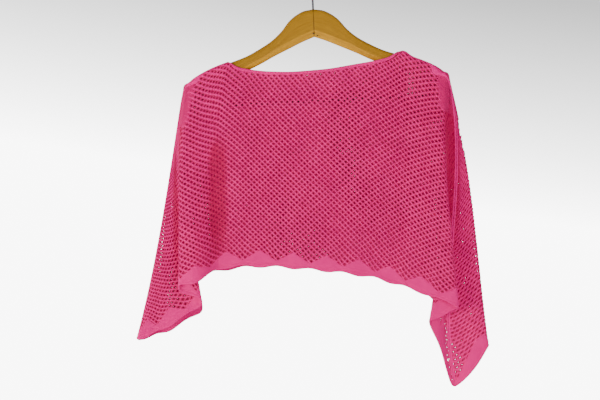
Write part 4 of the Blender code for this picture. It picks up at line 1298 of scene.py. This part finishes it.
def knit_group():
    """Knitting: columns of V stitches in the cut's own metres, fuzz, and uneven dye.

    A V stitch is a wave along the column whose phase rises with the distance from the
    column's middle. Painted shade: colour goes from the shade colour to the lit one with the stitch's
    height.
    """
    group, start, end = new_group(
        "Knitting",
        [
            ("Map", "vector", None),
            ("Lit", "colour", (0.9, 0.05, 0.2, 1)),
            ("Painted shade", "colour", (0.6, 0.01, 0.08, 1)),
            ("Painted light share", "value", 1.0),
            ("Stitch width", "value", 0.0018),
            ("Stitch contrast", "value", 0.5),
        ],
        [("Color", "colour", None), ("Height", "value", None)],
    )
    given = start.outputs
    inputs = {0: given["Map"], 1: given["Stitch width"]}
    in_stitches = add_node(group, "VectorMath", inputs, operation="DIVIDE").outputs[0]
    across, along, _ = split_axes(group, in_stitches)
    from_middle = maths(group, "PINGPONG", across, 0.5)
    leaning = maths(group, "MULTIPLY_ADD", from_middle, STITCH_LEAN, along)
    wave = maths(group, "COSINE", maths(group, "MULTIPLY", leaning, 2 * math.pi * STITCH_RATE))
    stitch = maths(group, "MULTIPLY_ADD", wave, 0.5, 0.5)
    column = spread(group, from_middle, 0.0, 0.16, 0.0, 1.0)
    height = maths(group, "MULTIPLY", stitch, column)
    place = add_node(group, "TexCoord").outputs["Object"]
    fuzz = noise(group, place, FUZZ_SCALE, 3.0, 0.7)
    dye = noise(group, place, DYE_SCALE, 3.0, 0.6)
    contrast = given["Stitch contrast"]
    eased = maths(group, "MULTIPLY_ADD", height, contrast, maths(group, "SUBTRACT", 1.0, contrast))
    lit_share = maths(group, "MULTIPLY", eased, given["Painted light share"])
    inputs = {0: lit_share, 6: given["Painted shade"], 7: given["Lit"]}
    mixed = add_node(group, "Mix", inputs, data_type="RGBA").outputs[2]
    uneven = spread(group, dye, 0.3, 0.7, 0.90, 1.06)
    group.links.new(scaled(group, mixed, uneven), end.inputs["Color"])
    group.links.new(maths(group, "MULTIPLY_ADD", fuzz, FUZZ_HEIGHT, height), end.inputs["Height"])
    return group


def new_material(name, sockets):
    """A material with a Principled shader whose constants are set on its own sockets."""
    material = bpy.data.materials.new(name)
    material.use_nodes = True
    shader = material.node_tree.nodes["Principled BSDF"]
    for key, value in sockets.items():
        shader.inputs[key].default_value = value
    return material, material.node_tree, shader


def add_bump(tree, height, shader, distance, strength=1.0):
    bump = add_node(tree, "Bump", {"Strength": strength, "Distance": distance, "Height": height})
    tree.links.new(bump.outputs["Normal"], shader.inputs["Normal"])


def knitted_material(name, group, lit, painted_shade, stitch_width, contrast, netted, relief):
    """Soft matt yarn. Painted light and shade: on the net the strands' raised tops are painted in the lit
    colour, and their sides and the holes in the painted shade colour.
    """
    material, tree, shader = new_material(name, YARN_FINISH_AND_PAINTED_GLOW)
    inputs = {"Lit": lit, "Painted shade": painted_shade, "Stitch width": stitch_width, "Stitch contrast": contrast}
    inputs["Map"] = cut_map(tree)
    if netted:
        # Painted light and shade on the net: the strand attribute (the strands' height times the painted
        # fold shade) sets how much lit colour shows over the shade colour
        strand = add_node(tree, "Attribute", attribute_name="strand").outputs["Fac"]
        inputs["Painted light share"] = spread(tree, strand, 0.30, 0.85, 0.0, 1.0)
    knit = add_node(tree, "Group", inputs, node_tree=group)
    # Painted glow: the knitting's colour is also given off as light
    for socket in ("Base Color", "Emission Color"):
        tree.links.new(knit.outputs["Color"], shader.inputs[socket])
    add_bump(tree, knit.outputs["Height"], shader, relief)
    return material


def wood_material(looks):
    """Varnished wood: rings drawn out along the arm, pores, and darker streaks.

    The bevel, which faces down, is painted lighter, a painted stand-in for light from below, and the joint
    at the crown is dark.
    """
    material, tree, shader = new_material(
        "varnished_wood",
        {"Roughness": 0.5, "Coat Weight": looks.varnish, "Coat Roughness": 0.2, "Specular IOR Level": 0.15},
    )
    grain = cut_map(tree)
    rings = noise(tree, drawn_out(tree, grain, *RING_SCALE), 1.0, 5.0, 0.62, 0.6)
    pores = noise(tree, drawn_out(tree, grain, *PORE_SCALE), 1.0, 2.0)
    ramp = add_node(tree, "ValToRGB", {0: rings})
    dark, light = ramp.color_ramp.elements
    dark.position, dark.color = 0.30, looks.dark_wood
    light.position, light.color = 0.62, looks.light_wood
    wood = scaled(tree, ramp.outputs["Color"], spread(tree, pores, 0.35, 0.6, 0.78, 1.04))
    facing = split_axes(tree, add_node(tree, "NewGeometry").outputs["Normal"])["Z"]
    # Painted light from below on the downward-facing bevel
    bevel_painted_light = spread(tree, facing, -0.18, -0.34, 1.0, looks.painted_bevel_light)
    from_joint = maths(tree, "ABSOLUTE", split_axes(tree, grain)["X"])
    at_joint = spread(tree, from_joint, 0.0003, 0.0012, 0.45, 1.0)
    finished = scaled(tree, wood, maths(tree, "MULTIPLY", bevel_painted_light, at_joint))
    tree.links.new(finished, shader.inputs["Base Color"])
    add_bump(tree, pores, shader, 0.00012, 0.5)
    return material


def metal_material(name, colour, roughness):
    """Drawn wire: fine scratches round it vary its gloss."""
    material, tree, shader = new_material(name, {"Base Color": colour, "Metallic": 1.0})
    scratches = noise(tree, drawn_out(tree, cut_map(tree), *SCRATCH_SCALE), 1.0, 3.0)
    gloss = spread(tree, scratches, 0.3, 0.7, roughness * 0.75, roughness * 1.3)
    tree.links.new(gloss, shader.inputs["Roughness"])
    return material


def label_material(looks):
    """Plain woven tape: fine threads both ways, blank."""
    material, tree, shader = new_material("label_tape", {"Roughness": 0.7, "Sheen Weight": 0.15})
    across, along, _ = split_axes(tree, drawn_out(tree, cut_map(tree), *THREAD_SCALE))
    weave = maths(tree, "MULTIPLY", maths(tree, "SINE", across), maths(tree, "SINE", along))
    base = scaled(tree, looks.label_colour[:3], spread(tree, weave, -1.0, 1.0, 0.90, 1.02))
    tree.links.new(base, shader.inputs["Base Color"])
    add_bump(tree, weave, shader, 0.00008, 0.6)
    return material


def finish_piece(obj, node):
    """The piece rides the part's one body and stands for its node, which is hidden."""
    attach(obj, "root")
    if node:
        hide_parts(node)


class PONCHO_OT_cloth(bpy.types.Operator):
    """Knits both net panels and their solid borders and neckbands"""

    bl_idname = "poncho.cloth"
    bl_label = "Knit the poncho"

    def execute(self, context):
        looks = context.scene.poncho_cloth
        group = knit_group()
        net = knitted_material(
            "net_yarn", group, looks.yarn_colour, looks.painted_shade_colour, 0.0021, 0.35, True, 0.00035
        )
        solid = knitted_material(
            "solid_knitting", group, looks.border_colour, looks.painted_shade_colour, 0.0019, 0.30, False, 0.00030
        )
        for side in ("front", "back"):
            panel = net_piece(side + "_net", side, looks, net)
            hem = hem_piece(side + "_hem", side, solid)
            band = neckband_piece(side + "_neckband", side, solid)
            finish_piece(panel, side + "_panel")
            finish_piece(hem, side + "_border")
            finish_piece(band, "neckband_" + side)
        return {"FINISHED"}


class PONCHO_OT_label(bpy.types.Operator):
    """Sews the blank label to the inside of the back"""

    bl_idname = "poncho.label"
    bl_label = "Add the label"

    def execute(self, context):
        label = label_piece("label", label_material(context.scene.poncho_cloth))
        finish_piece(label, "care_label")
        return {"FINISHED"}


class PONCHO_OT_hanger(bpy.types.Operator):
    """Makes the hanger's arms, hook, trouser bar and nails"""

    bl_idname = "poncho.hanger"
    bl_label = "Make the hanger"

    def execute(self, context):
        looks = context.scene.poncho_hanger
        wood = wood_material(looks)
        wire = metal_material("bright_wire", looks.wire_colour, 0.30)
        bar = metal_material("dark_bar", looks.bar_colour, 0.28)
        finish_piece(arm_piece("hanger_left", -1, wood), "hanger_arm_left")
        finish_piece(arm_piece("hanger_right", 1, wood), "hanger_arm_right")
        finish_piece(tube("hook_wire", hook_path(), HOOK_WIRE / 2, wire), "hook")
        finish_piece(tube("trouser_rod", bar_path(), BAR_WIRE / 2, bar), "trouser_bar")
        for number, place in enumerate(NAILS, 1):
            finish_piece(nail_piece(f"nail_{number}", place, bar), None)
        return {"FINISHED"}


def area_light(name, place, aim, size, power, colour):
    """A square soft light at a place, turned to what it aims at."""
    data = bpy.data.lights.new(name, "AREA")
    data.size = size
    data.energy = power
    data.color = colour
    obj = bpy.data.objects.new(name, data)
    obj.location = place
    obj.rotation_euler = (Vector(aim) - Vector(place)).to_track_quat("-Z", "Y").to_euler()
    bpy.context.scene.collection.objects.link(obj)


def studio_world():
    """A pale surround. The camera sees a wall that is brighter towards the floor and the left."""
    world = bpy.data.worlds.new("studio")
    world.use_nodes = True
    tree = world.node_tree
    background = tree.nodes["Background"]
    background.inputs["Color"].default_value = WORLD_LIGHT
    background.inputs["Strength"].default_value = WORLD_STRENGTH
    way = split_axes(tree, add_node(tree, "TexCoord").outputs["Generated"])
    by_height = maths(tree, "MULTIPLY_ADD", way["Z"], WALL_UP, WALL_LEVEL)
    doublings = maths(tree, "MULTIPLY_ADD", way["X"], WALL_RIGHT, by_height)
    kept = maths(tree, "MAXIMUM", maths(tree, "MINIMUM", doublings, WALL_MOST), 0.0)
    strength = maths(tree, "POWER", 2.0, kept)
    seen = add_node(tree, "Background", {"Color": WALL_COLOUR, "Strength": strength})
    by_camera = add_node(tree, "LightPath").outputs["Is Camera Ray"]
    mix = add_node(tree, "MixShader", {0: by_camera, 1: background.outputs[0], 2: seen.outputs[0]})
    tree.links.new(mix.outputs[0], tree.nodes["World Output"].inputs["Surface"])
    bpy.context.scene.world = world


class PONCHO_OT_studio(bpy.types.Operator):
    """Sets out the floor, the soft lights, the pale surround and the camera"""

    bl_idname = "poncho.studio"
    bl_label = "Set out the studio"

    def execute(self, context):
        studio = context.scene.poncho_studio
        half = studio.floor_size / 2
        corners = np.array([(-half, -half), (half, -half), (half, half), (-half, half)])
        points = np.column_stack([corners, np.full(4, studio.floor_height)])
        material, _, _ = new_material("pale_floor", {"Base Color": FLOOR_COLOUR, "Roughness": 0.8})
        floor = build_mesh("floor", points, np.array([[0, 1, 2, 3]]), material)
        for light in LIGHTS:
            area_light(*light)
        studio_world()
        data = bpy.data.cameras.new("camera")
        data.lens = studio.focal_length
        data.sensor_width = 36.0
        camera = bpy.data.objects.new("camera", data)
        camera.location = (studio.camera_across, -studio.camera_distance, studio.camera_height)
        camera.rotation_euler = (math.pi / 2, 0, 0)
        context.scene.collection.objects.link(camera)
        context.scene.camera = camera
        return {"FINISHED"}


class PONCHO_PT_pieces(bpy.types.Panel):
    """Lists the pieces and their settings"""

    bl_label = "Net poncho"
    bl_idname = "PONCHO_PT_pieces"
    bl_space_type = "VIEW_3D"
    bl_region_type = "UI"
    bl_category = "Poncho"

    def draw(self, context):
        for settings, operators in (
            (context.scene.poncho_cloth, (PONCHO_OT_cloth, PONCHO_OT_label)),
            (context.scene.poncho_hanger, (PONCHO_OT_hanger,)),
            (context.scene.poncho_studio, (PONCHO_OT_studio,)),
        ):
            box = self.layout.box()
            for name in settings.__annotations__:
                box.prop(settings, name)
            for operator in operators:
                box.operator(operator.bl_idname)


CLASSES = (
    ClothSettings,
    HangerSettings,
    StudioSettings,
    PONCHO_OT_cloth,
    PONCHO_OT_label,
    PONCHO_OT_hanger,
    PONCHO_OT_studio,
    PONCHO_PT_pieces,
)
SETTINGS = {"poncho_cloth": ClothSettings, "poncho_hanger": HangerSettings, "poncho_studio": StudioSettings}


def register():
    for item in CLASSES:
        bpy.utils.register_class(item)
    for name, group in SETTINGS.items():
        setattr(bpy.types.Scene, name, bpy.props.PointerProperty(type=group))


def unregister():
    for name in SETTINGS:
        delattr(bpy.types.Scene, name)
    for item in reversed(CLASSES):
        bpy.utils.unregister_class(item)


def main():
    register()
    bpy.ops.poncho.cloth()
    bpy.ops.poncho.label()
    bpy.ops.poncho.hanger()
    bpy.ops.poncho.studio()


if __name__ == "__main__":
    main()
